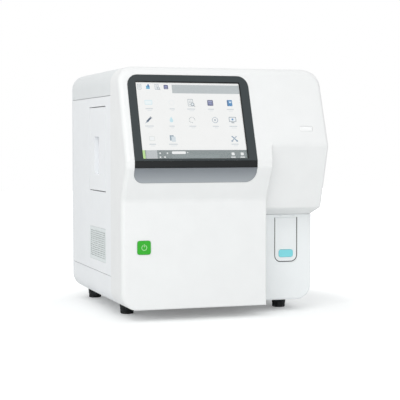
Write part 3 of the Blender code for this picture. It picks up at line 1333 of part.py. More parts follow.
def build_needle_drive(carriage):
    """The needle's screw and motor, its sliding holder, the needle and the wash collar."""
    axis = (TUBE_X, NEEDLE_SCREW_Y)
    screw = rod("needle_screw", "Z", axis, SCREW_RADIUS, COLUMN_LOW_Z, NEEDLE_SCREW_TOP_Z)
    finish(screw, "steel")
    hang_on_axis(screw, (*axis, COLUMN_LOW_Z), carriage)
    motor_low = MOTOR_SHELF_Z + COLUMN_THICKNESS + GAP
    outline = centred(TUBE_X, NEEDLE_SCREW_Y, NEEDLE_MOTOR_SIZE, NEEDLE_MOTOR_SIZE, MOTOR_CORNER)
    motor = prism("needle_motor", outline, "Z", motor_low, motor_low + NEEDLE_MOTOR_HEIGHT)
    bore_radius = SCREW_RADIUS + RUNNING_CLEARANCE
    cut(motor, rod("bore", "Z", axis, bore_radius, motor_low - OVERRUN, NEEDLE_SCREW_TOP_Z + GAP))
    finish(motor, "black plastic")
    holder_x = COLUMN_FACE_X + GAP
    holder = block(
        "needle_holder", (holder_x, TUBE_Y - HOLDER_SIDE, HOLDER_LOW_Z),
        (TUBE_X + HOLDER_SIDE, NEEDLE_SCREW_Y + HOLDER_SIDE, HOLDER_LOW_Z + HOLDER_HEIGHT),
    )
    low, high = HOLDER_LOW_Z - OVERRUN, HOLDER_LOW_Z + HOLDER_HEIGHT + OVERRUN
    cut(
        holder,
        rod("screw bore", "Z", axis, bore_radius, low, high),
        rod("needle bore", "Z", (TUBE_X, TUBE_Y), NEEDLE_RADIUS + GAP, low, high),
    )
    finish(holder, "aluminium")
    hang_on_axis(holder, (*axis, HOLDER_LOW_Z), carriage)
    fitting_top = NEEDLE_TOP_Z + NEEDLE_FITTING_HEIGHT
    profile = [
        (0, NEEDLE_TIP_Z), (NEEDLE_RADIUS, NEEDLE_TIP_Z + NEEDLE_TIP_TAPER), (NEEDLE_RADIUS, NEEDLE_TOP_Z),
        (NEEDLE_FITTING_RADIUS, NEEDLE_TOP_Z), (NEEDLE_FITTING_RADIUS, fitting_top), (0, fitting_top),
    ]
    needle = turned("sample_needle", profile, "Z", (TUBE_X, TUBE_Y), ROD_STEPS)
    finish(needle, "steel")
    collar_top = COLUMN_LOW_Z - GAP
    collar_low = collar_top - COLLAR_HEIGHT
    ring = [
        (COLLAR_RADIUS, collar_low), (COLLAR_RADIUS, collar_top),
        (COLLAR_BORE, collar_top), (COLLAR_BORE, collar_low),
    ]
    collar = turned("wash_collar", ring, "Z", (TUBE_X, TUBE_Y), ROD_STEPS)
    finish(collar, "clear plastic")
    carry(holder, needle)
    carry(carriage, motor, collar)


def build_baths():
    """The two baths behind the drawer, under the needle's rear position."""
    low_z = SHELF_TOP_Z + GAP
    for name, place in (("white_cell_bath", BATH_Y), ("red_cell_bath", BATH_Y + BATH_SPACING)):
        bath = cup(name, (TUBE_X, place), low_z, BATH_HEIGHT, BATH_RADIUS, BATH_BORE, BATH_FLOOR, ROD_STEPS)
        finish(bath, "clear plastic")


# Fluidics behind the side door

def build_fluidics_plate():
    """The upright plate behind the door, with its foot flange and the board's standoffs."""
    low_z = BODY_FLOOR_Z + GAP
    high = (FLUIDICS_RIGHT_X, FLUIDICS_REAR_Y, FLUIDICS_TOP_Z)
    plate = block("fluidics_plate", (FLUIDICS_X, FLUIDICS_FRONT_Y, low_z), high)
    middle_x, flange_right = (FLUIDICS_X + FLUIDICS_RIGHT_X) / 2, FLUIDICS_RIGHT_X + FOOT_FLANGE
    flange_high = (flange_right, FLUIDICS_REAR_Y, low_z + SHEET)
    join(plate, block("flange", (middle_x, FLUIDICS_FRONT_Y, low_z), flange_high))
    post_end = FLUIDICS_RIGHT_X + BOARD_STANDOFF
    for y in (BOARD_FRONT_Y + BOARD_MARGIN, BOARD_FRONT_Y + BOARD_LENGTH - BOARD_MARGIN):
        for z in (BOARD_LOW_Z + BOARD_MARGIN, BOARD_LOW_Z + BOARD_HEIGHT - BOARD_MARGIN):
            join(plate, rod("standoff", "X", (y, z), STANDOFF_RADIUS, middle_x, post_end))
    return finish(plate, "zinc sheet")


def build_syringes():
    """The diluent and lyse syringes: two barrels on the plate and one yoke with both plungers."""
    head_low = BARREL_TOP_Z - BARREL_HEAD
    plate_side = FLUIDICS_X - GAP
    for name, y in zip(("diluent_barrel", "lyse_barrel"), BARREL_Y_PLACES):
        ring = [
            (BARREL_RADIUS, BARREL_LOW_Z), (BARREL_RADIUS, BARREL_TOP_Z), (0, BARREL_TOP_Z),
            (0, head_low), (BARREL_BORE, head_low), (BARREL_BORE, BARREL_LOW_Z),
        ]
        barrel = turned(name, ring, "Z", (BARREL_X, y))
        head = block(
            "head", (BARREL_X - BARREL_RADIUS, y - BARREL_RADIUS - SHEET, head_low),
            (plate_side, y + BARREL_RADIUS + SHEET, BARREL_TOP_Z + SHEET),
        )
        finish(join(barrel, head), "clear plastic")
    plunger_radius = BARREL_BORE - PLUNGER_CLEARANCE
    head_top = head_low - GAP
    yoke_top = YOKE_Z + YOKE_HEIGHT
    first, last = BARREL_Y_PLACES[0], BARREL_Y_PLACES[-1]
    yoke = block(
        "plunger_yoke", (BARREL_X - YOKE_WIDTH / 2, first - YOKE_WIDTH / 2, YOKE_Z),
        (plate_side, last + YOKE_WIDTH / 2, yoke_top),
    )
    for y in BARREL_Y_PLACES:
        profile = [
            (0, YOKE_Z + YOKE_HEIGHT / 2), (PLUNGER_ROD_RADIUS, YOKE_Z + YOKE_HEIGHT / 2),
            (PLUNGER_ROD_RADIUS, head_top - PLUNGER_HEAD), (plunger_radius, head_top - PLUNGER_HEAD),
            (plunger_radius, head_top), (0, head_top),
        ]
        join(yoke, turned("plunger", profile, "Z", (BARREL_X, y)))
    finish(yoke, "steel")
    return hang_on_axis(yoke, (BARREL_X, (first + last) / 2, yoke_top))


def build_valve_manifold():
    """The valve block, with its coils standing out towards the door."""
    right = FLUIDICS_X - GAP
    left = right - MANIFOLD_DEPTH
    rear_y, top_z = MANIFOLD_FRONT_Y + MANIFOLD_LENGTH, MANIFOLD_LOW_Z + MANIFOLD_HEIGHT
    manifold = block("valve_manifold", (left, MANIFOLD_FRONT_Y, MANIFOLD_LOW_Z), (right, rear_y, top_z))
    for column in range(VALVE_COLUMNS):
        for row in range(VALVE_ROWS):
            y = MANIFOLD_FRONT_Y + MANIFOLD_LENGTH * (column + 1 / 2) / VALVE_COLUMNS
            z = MANIFOLD_LOW_Z + MANIFOLD_HEIGHT * (row + 1 / 2) / VALVE_ROWS
            coil = rod("coil", "X", (y, z), VALVE_RADIUS, left - VALVE_LENGTH, left + MANIFOLD_DEPTH / 2)
            join(manifold, coil)
    return finish(manifold, "black plastic")


def build_waste_pump():
    """The peristaltic pump: a housing with a fixed shaft, and a rotor with three rollers."""
    right = FLUIDICS_X - GAP
    left = right - PUMP_DEPTH
    floor = right - PUMP_FLOOR
    profile = [
        (0, right), (PUMP_RADIUS, right), (PUMP_RADIUS, left), (PUMP_BORE, left), (PUMP_BORE, floor),
        (PUMP_SHAFT_RADIUS, floor), (PUMP_SHAFT_RADIUS, floor - ROTOR_DEPTH), (0, floor - ROTOR_DEPTH),
    ]
    finish(turned("waste_pump", profile, "X", (PUMP_Y, PUMP_Z)), "grey plastic")
    back = floor - ROTOR_CLEARANCE
    disc_front = back - ROTOR_DISC_THICKNESS
    rotor = rod("pump_rotor", "X", (PUMP_Y, PUMP_Z), ROTOR_DISC_RADIUS, disc_front, back, ROUND_STEPS)
    front = back - ROTOR_DEPTH + ROTOR_CLEARANCE
    middle = back - ROTOR_DISC_THICKNESS / 2
    join(rotor, rod("hub", "X", (PUMP_Y, PUMP_Z), ROTOR_HUB_RADIUS, front, middle))
    for index in range(ROLLER_COUNT):
        turn = 2 * math.pi * index / ROLLER_COUNT
        centre = (PUMP_Y + ROLLER_CIRCLE * math.cos(turn), PUMP_Z + ROLLER_CIRCLE * math.sin(turn))
        join(rotor, rod("roller", "X", centre, ROLLER_RADIUS, front, middle))
    bore_radius = PUMP_SHAFT_RADIUS + RUNNING_CLEARANCE
    cut(rotor, rod("bore", "X", (PUMP_Y, PUMP_Z), bore_radius, front - OVERRUN, back + OVERRUN))
    finish(rotor, "steel")
    return hang_on_axis(rotor, (back, PUMP_Y, PUMP_Z))


# Electronics

def build_main_board():
    """The main board on the plate's standoffs, with its chips and heat sink."""
    left = FLUIDICS_RIGHT_X + BOARD_STANDOFF + GAP
    right = left + BOARD_THICKNESS
    rear_y, top_z = BOARD_FRONT_Y + BOARD_LENGTH, BOARD_LOW_Z + BOARD_HEIGHT
    board = block("main_board", (left, BOARD_FRONT_Y, BOARD_LOW_Z), (right, rear_y, top_z))
    middle = (left + right) / 2
    # Where each part's two corners lie along the board's length and height
    corner_shares = (
        ((0.10, 0.12), (0.28, 0.36)), ((0.10, 0.52), (0.22, 0.70)), ((0.45, 0.10), (0.80, 0.24)),
        ((0.42, 0.40), (0.68, 0.68)), ((0.78, 0.44), (0.92, 0.90)),
    )
    heights = (CHIP_HEIGHT, CHIP_HEIGHT, CHIP_HEIGHT, SINK_HEIGHT, SINK_HEIGHT / 2)
    for corner_pair_shares, height in zip(corner_shares, heights):
        (low_y, low_z), (high_y, high_z) = (
            (BOARD_FRONT_Y + BOARD_LENGTH * along, BOARD_LOW_Z + BOARD_HEIGHT * up)
            for along, up in corner_pair_shares
        )
        join(board, block("chip", (middle, low_y, low_z), (right + height, high_y, high_z)))
    return finish(board, "circuit board")


def build_power_supply():
    """The power supply in its case on the tray, with its terminal block."""
    low_z = BODY_FLOOR_Z + GAP
    rear_y = REAR_SEAM_Y - SUPPLY_REAR_SETBACK + REAR_COVER_DEPTH
    front_y = rear_y - SUPPLY_WIDTH
    left_x, right_x = FLUIDICS_RIGHT_X + SUPPLY_LEFT_CLEARANCE, FRAME_X - SUPPLY_RIGHT_CLEARANCE
    top_z = low_z + SUPPLY_HEIGHT
    supply = block("power_supply", (left_x, front_y, low_z), (right_x, rear_y, top_z))
    round_edges(supply, SUPPLY_EDGE, 1, lambda point: point.z > low_z + SUPPLY_HEIGHT / 4)
    terminals = block(
        "terminals", (right_x - TERMINAL_LENGTH, rear_y - SUPPLY_EDGE, low_z + SUPPLY_HEIGHT / 4),
        (right_x - SUPPLY_EDGE, rear_y + TERMINAL_DEPTH, low_z + SUPPLY_HEIGHT / 4 + TERMINAL_HEIGHT),
    )
    return finish(join(supply, terminals), "zinc sheet")


def build_fan():
    """The exhaust fan behind the rear vent: its frame and its rotor."""
    axis = (FAN_X, FAN_Z)
    front = FAN_REAR_Y - FAN_DEPTH
    frame = prism("fan_frame", centred(*axis, FAN_SIZE, FAN_SIZE, FAN_CORNER), "Y", front, FAN_REAR_Y)
    cut(frame, rod("bore", "Y", axis, FAN_BORE, front - OVERRUN, FAN_REAR_Y + OVERRUN, ROUND_STEPS))
    hub_rear = front + FAN_HUB_FLOOR
    hub = rod("hub", "Y", axis, FAN_HUB_RADIUS, front, hub_rear, ROUND_STEPS)
    for index in range(FAN_STRUTS):
        strut = block(
            "strut", (0, -FAN_STRUT / 2, FAN_STRUT_INSET),
            (FAN_BORE + FAN_STRUT_LAP, FAN_STRUT / 2, FAN_HUB_FLOOR - FAN_STRUT_INSET),
        )
        turn = 2 * math.pi * (index + 1 / 2) / FAN_STRUTS
        strut.data.transform(Matrix.Translation((FAN_X, hub_rear, FAN_Z)) @ Matrix.Rotation(turn, 4, "Y")
                             @ Matrix.Rotation(math.pi / 2, 4, "X"))
        join(hub, strut)
    pin_rear = hub_rear + FAN_HUB_DEPTH
    join(hub, rod("pin", "Y", axis, FAN_PIN_RADIUS, front + FAN_HUB_FLOOR / 2, pin_rear))
    finish(join(frame, hub), "black plastic")
    rotor_front = hub_rear + GAP
    rotor_rear = rotor_front + FAN_HUB_DEPTH
    rotor = rod("fan_rotor", "Y", axis, FAN_HUB_RADIUS, rotor_front, rotor_rear, ROUND_STEPS)
    for index in range(FAN_BLADES):
        blade = block(
            "blade", (FAN_HUB_RADIUS - FAN_BLADE_THICKNESS, -FAN_BLADE_THICKNESS / 2, -FAN_HUB_DEPTH / 2),
            (FAN_BORE - FAN_TIP_CLEARANCE, FAN_BLADE_THICKNESS / 2, FAN_HUB_DEPTH / 2),
        )
        turn = Matrix.Rotation(2 * math.pi * index / FAN_BLADES, 4, "Y")
        lean = Matrix.Rotation(math.pi / 2 + FAN_BLADE_PITCH, 4, "X")
        middle = Matrix.Translation((FAN_X, (rotor_front + rotor_rear) / 2, FAN_Z))
        blade.data.transform(middle @ turn @ lean)
        join(rotor, blade)
    bore_radius = FAN_PIN_RADIUS + RUNNING_CLEARANCE
    bore = rod("pin bore", "Y", axis, bore_radius, rotor_front - OVERRUN, rotor_rear + OVERRUN)
    finish(cut(rotor, bore), "black plastic")
    return hang_on_axis(rotor, (FAN_X, rotor_front, FAN_Z))


# Rear connectors

def build_mains_inlet():
    """The mains inlet: a three-blade socket with the switch's window above it."""
    outer = centred(INLET_X, INLET_Z, INLET_WIDTH, INLET_HEIGHT, INLET_CORNER)
    inlet = prism("mains_inlet", outer, "Y", REAR_FACE_Y + GAP, BACK_Y)
    body = centred(INLET_X, INLET_Z, INLET_BODY_WIDTH, INLET_BODY_HEIGHT)
    flange_middle = (REAR_FACE_Y + BACK_Y) / 2
    join(inlet, prism("body", body, "Y", BACK_Y - INLET_BODY_DEPTH, flange_middle))
    socket_z = INLET_Z - SOCKET_C_DROP
    half_width, half_height = SOCKET_C_WIDTH / 2, SOCKET_C_HEIGHT / 2
    socket = [
        (INLET_X - half_width, socket_z - half_height), (INLET_X + half_width, socket_z - half_height),
        (INLET_X + half_width, socket_z + half_height - SOCKET_C_CHAMFER),
        (INLET_X + half_width - SOCKET_C_CHAMFER, socket_z + half_height),
        (INLET_X - half_width + SOCKET_C_CHAMFER, socket_z + half_height),
        (INLET_X - half_width, socket_z + half_height - SOCKET_C_CHAMFER),
    ]
    socket_floor, window_floor = BACK_Y - SOCKET_C_DEPTH, BACK_Y - ROCKER_WINDOW_DEPTH
    window = grown(centred(INLET_X, INLET_Z + ROCKER_RISE, ROCKER_WIDTH, ROCKER_HEIGHT), ROCKER_CLEARANCE)
    cut(
        inlet,
        prism("socket", socket, "Y", socket_floor, BACK_Y + OVERRUN),
        prism("window", window, "Y", window_floor, BACK_Y + OVERRUN),
    )
    for offset_x, offset_z in ((-BLADE_SPREAD, 0), (0, BLADE_HEIGHT), (BLADE_SPREAD, 0)):
        x, z = INLET_X + offset_x, socket_z + offset_z - BLADE_HEIGHT / 2
        join(inlet, block(
            "blade", (x - BLADE_WIDTH / 2, socket_floor - BLADE_WIDTH, z - BLADE_HEIGHT / 2),
            (x + BLADE_WIDTH / 2, socket_floor + BLADE_LENGTH, z + BLADE_HEIGHT / 2),
        ))
    return finish(inlet, "black plastic")


def build_rocker():
    """The mains switch's rocker, resting tipped to one side in its window."""
    pivot_z = INLET_Z + ROCKER_RISE
    pivot_y = BACK_Y - ROCKER_SINK - ROCKER_CROWN
    half = ROCKER_HEIGHT / 2 - ROCKER_CLEARANCE
    tip = half - ROCKER_CLEARANCE
    outline = [
        (-ROCKER_DEPTH / 2, -half / 2), (-ROCKER_DEPTH / 2, half / 2),
        (ROCKER_CROWN, tip), (ROCKER_CROWN / 2, 0), (ROCKER_CROWN, -tip),
    ]
    rocker = prism("rocker_switch", outline, "X", -ROCKER_WIDTH / 2, ROCKER_WIDTH / 2)
    rocker.data.transform(Matrix.Rotation(-ROCKER_SWING, 4, "X"))
    rocker.location = (INLET_X, pivot_y, pivot_z)
    return finish(rocker, "black plastic")


def build_port_block():
    """The fluid port block: a well in the rear cover with four hose nipples."""
    outline = centred(PORTS_X, PORTS_Z, PORTS_WIDTH, PORTS_HEIGHT, PORTS_CORNER)
    well_floor = REAR_FACE_Y - PORTS_WELL_DEPTH
    ports = prism("port_block", outline, "Y", well_floor - SHEET, REAR_FACE_Y)
    cut(ports, prism("well", grown(outline, -PORTS_RIM), "Y", well_floor, REAR_FACE_Y + OVERRUN))
    for side_x in (-1, 1):
        for side_z in (-1, 1):
            centre = (PORTS_X + side_x * PORT_SPACING / 2, PORTS_Z + side_z * PORT_SPACING / 2)
            tip = well_floor + PORT_LENGTH
            step = well_floor + PORT_LENGTH / 3
            profile = [
                (0, well_floor - SHEET / 2), (PORT_RADIUS, well_floor - SHEET / 2), (PORT_RADIUS, step),
                (PORT_BARB_RADIUS, step), (PORT_BARB_RADIUS, tip), (0, tip),
            ]
            join(ports, turned("nipple", profile, "Y", centre, ROD_STEPS))
    return finish(ports, "grey plastic")


def build_data_ports():
    """The data port block with two upright USB sockets and a network socket."""
    outline = centred(DATA_X, DATA_Z, DATA_WIDTH, DATA_HEIGHT, DATA_CORNER)
    ports = prism("data_ports", outline, "Y", REAR_FACE_Y - DATA_DEPTH, REAR_FACE_Y)
    floor = REAR_FACE_Y - SOCKET_DEPTH
    sockets = [centred(DATA_X, DATA_Z + offset, USB_WIDTH, USB_HEIGHT) for offset in USB_Z_OFFSETS]
    sockets.append(centred(DATA_X, DATA_Z + LAN_Z_OFFSET, LAN_WIDTH, LAN_HEIGHT))
    for socket in sockets:
        cut(ports, prism("socket", socket, "Y", floor, REAR_FACE_Y + OVERRUN))
    return finish(ports, "steel")


def build_feet():
    """Four tapered rubber feet under the tray."""
    top = FOOT_HEIGHT - GAP
    for end, y in (("front", SEAM_Y + FRONT_FOOT_SETBACK), ("rear", BACK_Y - REAR_FOOT_SETBACK)):
        for side, x in (("left", LEFT_X + FOOT_INSET), ("right", RIGHT_X - FOOT_INSET)):
            profile = [
                (0, 0), (FOOT_BOTTOM_RADIUS - FOOT_EDGE, 0), (FOOT_BOTTOM_RADIUS, FOOT_EDGE),
                (FOOT_TOP_RADIUS, top), (0, top),
            ]
            finish(turned(f"foot_{end}_{side}", profile, "Z", (x, y)), "rubber")


def build_analyzer():
    """Build every piece of the analyzer."""
    for old in list(bpy.data.objects):
        bpy.data.objects.remove(old, do_unlink=True)
    build_front_cover()
    build_cover_band("base_tray", FOOT_HEIGHT - OVERRUN, TRAY_TOP_Z)
    build_cover_band("top_cover", TOP_SEAM_Z, HEIGHT + OVERRUN)
    build_side_panels()
    build_rear_cover()
    build_sampling_panel()
    build_side_door()
    build_door_hinge("door_hinge_upper", DOOR_HIGH_Z, 1)
    build_door_hinge("door_hinge_lower", DOOR_LOW_Z, -1)
    build_air_filter()
    build_screen()
    build_indicator()
    build_power_button()
    drawer = build_tube_drawer()
    build_start_button(drawer)
    build_tube_holder(drawer)
    build_drawer_rails()
    build_drawer_drive(drawer)
    build_sampler_frame()
    build_carriage_guides()
    build_needle_drive(build_sampler_carriage())
    build_baths()
    build_fluidics_plate()
    build_syringes()
    build_valve_manifold()
    build_waste_pump()
    build_main_board()
    build_power_supply()
    build_fan()
    build_mains_inlet()
    build_rocker()
    build_port_block()
    build_data_ports()
    build_feet()


build_analyzer()
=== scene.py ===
"""Looks of a bench hematology analyzer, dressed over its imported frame."""

import json
import logging
import math
from collections.abc import Callable, Sequence
from dataclasses import dataclass, field
from enum import Enum
from typing import Any

import bmesh
import bpy
from mathutils import Matrix, Vector

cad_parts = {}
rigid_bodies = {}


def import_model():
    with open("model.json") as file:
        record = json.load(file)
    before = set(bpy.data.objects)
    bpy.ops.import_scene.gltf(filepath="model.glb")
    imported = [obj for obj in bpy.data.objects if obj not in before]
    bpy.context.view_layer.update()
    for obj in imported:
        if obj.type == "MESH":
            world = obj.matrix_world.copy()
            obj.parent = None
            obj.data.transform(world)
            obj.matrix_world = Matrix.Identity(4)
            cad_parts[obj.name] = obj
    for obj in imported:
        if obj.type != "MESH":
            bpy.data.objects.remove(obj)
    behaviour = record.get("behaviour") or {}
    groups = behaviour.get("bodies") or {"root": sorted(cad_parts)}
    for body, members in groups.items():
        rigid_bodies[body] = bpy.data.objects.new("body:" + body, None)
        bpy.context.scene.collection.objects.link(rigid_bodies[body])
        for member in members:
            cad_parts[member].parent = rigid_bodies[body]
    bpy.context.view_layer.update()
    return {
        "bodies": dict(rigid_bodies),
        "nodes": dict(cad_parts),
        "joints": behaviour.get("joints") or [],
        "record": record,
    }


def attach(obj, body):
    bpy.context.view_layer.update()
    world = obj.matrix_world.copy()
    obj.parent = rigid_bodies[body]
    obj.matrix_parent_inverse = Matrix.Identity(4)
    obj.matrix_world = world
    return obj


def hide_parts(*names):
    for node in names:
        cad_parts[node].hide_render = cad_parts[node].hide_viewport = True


LOG = logging.getLogger("analyzer")
# How far the screen's face leans back from its crest, and where the crest is
LEAN = math.radians(20.0)
CREST_Y, CREST_Z = -0.2422, 0.322
# Faces that meet at a smaller angle than this are shaded as one
SMOOTH_ANGLE = math.radians(32.0)
# Places closer than this count as the same
NEAR = 0.00005
# How far a cutter reaches past the sheet that it cuts
PAST = 0.01

Spot = tuple[float, float]
Place = tuple[float, float, float]
Shade = tuple[float, float, float, float]
Piece = bpy.types.Object
Tree = bpy.types.NodeTree
Node = bpy.types.Node
Socket = bpy.types.NodeSocket


class View(Enum):
    """The side an outline is drawn on, as the matrix that takes it there."""

    TOP = ((1, 0, 0, 0), (0, 1, 0, 0), (0, 0, 1, 0), (0, 0, 0, 1))
    FRONT = ((1, 0, 0, 0), (0, 0, -1, 0), (0, 1, 0, 0), (0, 0, 0, 1))
    REAR = ((-1, 0, 0, 0), (0, 0, 1, 0), (0, 1, 0, 0), (0, 0, 0, 1))
    SIDE = ((0, 0, 1, 0), (1, 0, 0, 0), (0, 1, 0, 0), (0, 0, 0, 1))
    LEFT = ((0, 0, -1, 0), (-1, 0, 0, 0), (0, 1, 0, 0), (0, 0, 0, 1))
    FACE = (
        (1, 0, 0, 0),
        (0, math.sin(LEAN), -math.cos(LEAN), CREST_Y),
        (0, math.cos(LEAN), math.sin(LEAN), CREST_Z),
        (0, 0, 0, 1),
    )


class Part(Enum):
    """What an edit works on."""

    CORNER = "VERT"
    EDGE = "EDGE"


# Modelling kit


def clear_selection() -> None:
    """Leaves edit mode and deselects every object."""
    if bpy.context.object is not None and bpy.context.object.mode != "OBJECT":
        bpy.ops.object.mode_set(mode="OBJECT")
    bpy.ops.object.select_all(action="DESELECT")


def take_up(piece: Piece) -> None:
    """Makes one piece the only one selected, and the active one."""
    clear_selection()
    piece.select_set(True)
    bpy.context.view_layer.objects.active = piece


def settle(piece: Piece) -> Piece:
    """Puts a piece's place into its mesh and returns it."""
    take_up(piece)
    bpy.ops.object.transform_apply(location=True, rotation=True, scale=True)
    return piece


def middle(item: Any) -> Vector:
    """Returns the middle of a corner, edge or face of an edited mesh."""
    corners = item.verts if hasattr(item, "verts") else [item]
    return sum((corner.co for corner in corners), Vector()) / len(corners)


def choose(piece: Piece, part: Part, test: Callable[[Any], bool]) -> int:
    """Selects the parts of a piece that pass a test, in edit mode.

    Args:
        piece: the piece to edit.
        part: whether corners or edges are chosen.
        test: says whether one of them is chosen.

    Returns:
        How many were chosen.
    """
    take_up(piece)
    bpy.ops.object.mode_set(mode="EDIT")
    bpy.ops.mesh.select_mode(type=part.value)
    bpy.ops.mesh.select_all(action="DESELECT")
    form = bmesh.from_edit_mesh(piece.data)
    form.normal_update()
    items = form.verts if part is Part.CORNER else form.edges
    chosen = [item for item in items if test(item)]
    for item in chosen:
        item.select_set(True)
    bmesh.update_edit_mesh(piece.data)
    return len(chosen)


def leave_edit() -> None:
    """Goes back to object mode."""
    bpy.ops.object.mode_set(mode="OBJECT")


def chain(name: str, points: Sequence[Place]) -> Piece:
    """Traces a line from corner to corner.

    Args:
        name: the new piece's name.
        points: the corners in order.

    Returns:
        The piece, left in edit mode.
    """
    clear_selection()
    bpy.ops.mesh.primitive_plane_add(size=0.002, location=points[0])
    piece = bpy.context.object
    piece.name = piece.data.name = name
    settle(piece)
    bpy.ops.object.mode_set(mode="EDIT")
    bpy.ops.mesh.select_mode(type="VERT")
    bpy.ops.mesh.select_all(action="SELECT")
    bpy.ops.mesh.merge(type="CENTER")
    for before, after in zip(points, points[1:]):
        step = tuple(b - a for a, b in zip(before, after))
        bpy.ops.mesh.extrude_vertices_move(TRANSFORM_OT_translate={"value": step})
    return piece


def trace(
    name: str, points: Sequence[Spot], radii: Sequence[float] | float = 0.0, steps: int = 8
) -> Piece:
    """Traces a closed outline, fills it and rounds its corners.

    Args:
        name: the new piece's name.
        points: the outline's corners in order.
        radii: the radius of each corner, or one for all of them.
        steps: facets of each rounded corner.

    Returns:
        The filled outline, flat on the top view, in object mode.
    """
    piece = chain(name, [(x, y, 0.0) for x, y in points])
    bpy.ops.mesh.select_all(action="SELECT")
    bpy.ops.mesh.edge_face_add()
    rounds = [radii] * len(points) if isinstance(radii, float) else radii
    for index, (spot, radius) in enumerate(zip(points, rounds)):
        if radius <= 0:
            continue
        here = Vector(spot)
        before = (Vector(points[index - 1]) - here).normalized()
        after = (Vector(points[(index + 1) % len(points)]) - here).normalized()
        reach = radius / math.tan(before.angle(after) / 2)
        choose(piece, Part.CORNER, lambda corner: (corner.co.xy - here).length < NEAR)
        bpy.ops.mesh.bevel(offset=reach, affect="VERTICES", segments=steps, profile=0.5)
    leave_edit()
    return piece


def place(piece: Piece, view: View) -> Piece:
    """Takes a piece drawn flat to the side it belongs on, and returns it."""
    piece.matrix_world = Matrix(view.value)
    return settle(piece)


def solid(
    name: str, view: View, points: Sequence[Spot], low: float, high: float,
    radii: Sequence[float] | float = 0.0, steps: int = 8,
) -> Piece:
    """Traces an outline in a view and pulls it into a solid.

    Args:
        name: the new piece's name.
        view: the side the outline is drawn on.
        points: the outline's corners.
        low: where the solid starts along the view's own axis (Y for the front and the rear).
        high: where it ends.
        radii: the radius of each corner, or one for all of them.
        steps: facets of each rounded corner.

    Returns:
        The solid.
    """
    if view is View.FRONT:
        low, high = -high, -low
    if view is View.REAR:
        points = [(-x, y) for x, y in points]
    piece = trace(name, points, radii, steps)
    bpy.ops.object.mode_set(mode="EDIT")
    bpy.ops.mesh.select_all(action="SELECT")
    bpy.ops.transform.translate(value=(0, 0, low))
    bpy.ops.mesh.extrude_region_move(TRANSFORM_OT_translate={"value": (0, 0, high - low)})
    bpy.ops.mesh.select_all(action="SELECT")
    bpy.ops.mesh.normals_make_consistent(inside=False)
    leave_edit()
    return place(piece, view)


def frame_of(centre: Spot, width: float, height: float) -> list[Spot]:
    """Returns the four corners of a rectangle about its centre."""
    x, y = centre
    return [
        (x - width / 2, y - height / 2), (x + width / 2, y - height / 2),
        (x + width / 2, y + height / 2), (x - width / 2, y + height / 2),
    ]


def span(low_x: float, high_x: float, low_y: float, high_y: float) -> list[Spot]:
    """Returns the four corners of a rectangle between its sides."""
    return [(low_x, low_y), (high_x, low_y), (high_x, high_y), (low_x, high_y)]


def about(name: str, centre: Sequence[float], size: Sequence[float]) -> Piece:
    """Returns a squared block about its centre."""
    clear_selection()
    bpy.ops.mesh.primitive_cube_add(size=1, location=centre, scale=size)
    piece = bpy.context.object
    piece.name = piece.data.name = name
    return settle(piece)


def slab(name: str, low: Place, high: Place) -> Piece:
    """Returns a squared block between two corners."""
    centre = [(a + b) / 2 for a, b in zip(low, high)]
    return about(name, centre, [b - a for a, b in zip(low, high)])


def raised(profile: Sequence[Spot], base: float) -> list[Spot]:
    """Returns a turned profile with its places along the axis counted from a base."""
    return [(radius, base + along) for radius, along in profile]


def ring_of(inner: float, outer: float, low: float, high: float) -> list[Spot]:
    """Returns the closed profile of a squared ring between two radii and two levels."""
    return [(inner, low), (outer, low), (outer, high), (inner, high), (inner, low)]


def turned(
    name: str, view: View, centre: Spot, profile: Sequence[Spot], steps: int = 48
) -> Piece:
    """Spins a profile into a round piece.

    Args:
        name: the new piece's name.
        view: the side the piece is seen round from.
        centre: where its axis stands in that view.
        profile: its radius and place along the axis (Y for the front and the rear), in order.
        steps: facets round the axis.

    Returns:
        The round piece.
    """
    sign = -1 if view is View.FRONT else 1
    piece = chain(name, [(radius, 0.0, along * sign) for radius, along in profile])
    bpy.ops.mesh.select_all(action="SELECT")
    bpy.ops.mesh.spin(steps=steps, angle=math.tau, center=(0, 0, 0), axis=(0, 0, 1))
    bpy.ops.mesh.select_all(action="SELECT")
    bpy.ops.mesh.remove_doubles(threshold=0.000002)
    bpy.ops.mesh.normals_make_consistent(inside=False)
    mirror = -1 if view is View.REAR else 1
    bpy.ops.transform.translate(value=(centre[0] * mirror, centre[1], 0))
    leave_edit()
    return place(piece, view)


def combine(piece: Piece, way: str, *tools: Piece) -> Piece:
    """Joins, cuts or crosses a piece with others, which are used up.

    Args:
        piece: the piece that stays.
        way: UNION, DIFFERENCE or INTERSECT.
        tools: the pieces that are used up.

    Returns:
        The piece.
    """
    for tool in tools:
        take_up(piece)
        change = piece.modifiers.new("change", "BOOLEAN")
        change.operation = way
        change.object = tool
        change.solver = "EXACT"
        bpy.ops.object.modifier_apply(modifier=change.name)
        bpy.data.objects.remove(tool, do_unlink=True)
    return piece


def cut(piece: Piece, *tools: Piece) -> Piece:
    """Cuts other pieces out of a piece and returns it."""
    return combine(piece, "DIFFERENCE", *tools)


def weld(piece: Piece, *tools: Piece) -> Piece:
    """Joins other pieces into a piece and returns it."""
    return combine(piece, "UNION", *tools)


def group(name: str, *members: Piece) -> Piece:
    """Joins separate pieces into one object without cutting them, and returns it."""
    clear_selection()
    for member in members:
        member.select_set(True)
    bpy.context.view_layer.objects.active = members[0]
    bpy.ops.object.join()
    piece = bpy.context.object
    piece.name = piece.data.name = name
    return piece


def copy_of(piece: Piece, name: str, shift: Place) -> Piece:
    """Returns a copy of a piece with its own mesh, moved by a distance."""
    twin = piece.copy()
    twin.data = piece.data.copy()
    twin.name = twin.data.name = name
    bpy.context.scene.collection.objects.link(twin)
    twin.location = shift
    return settle(twin)


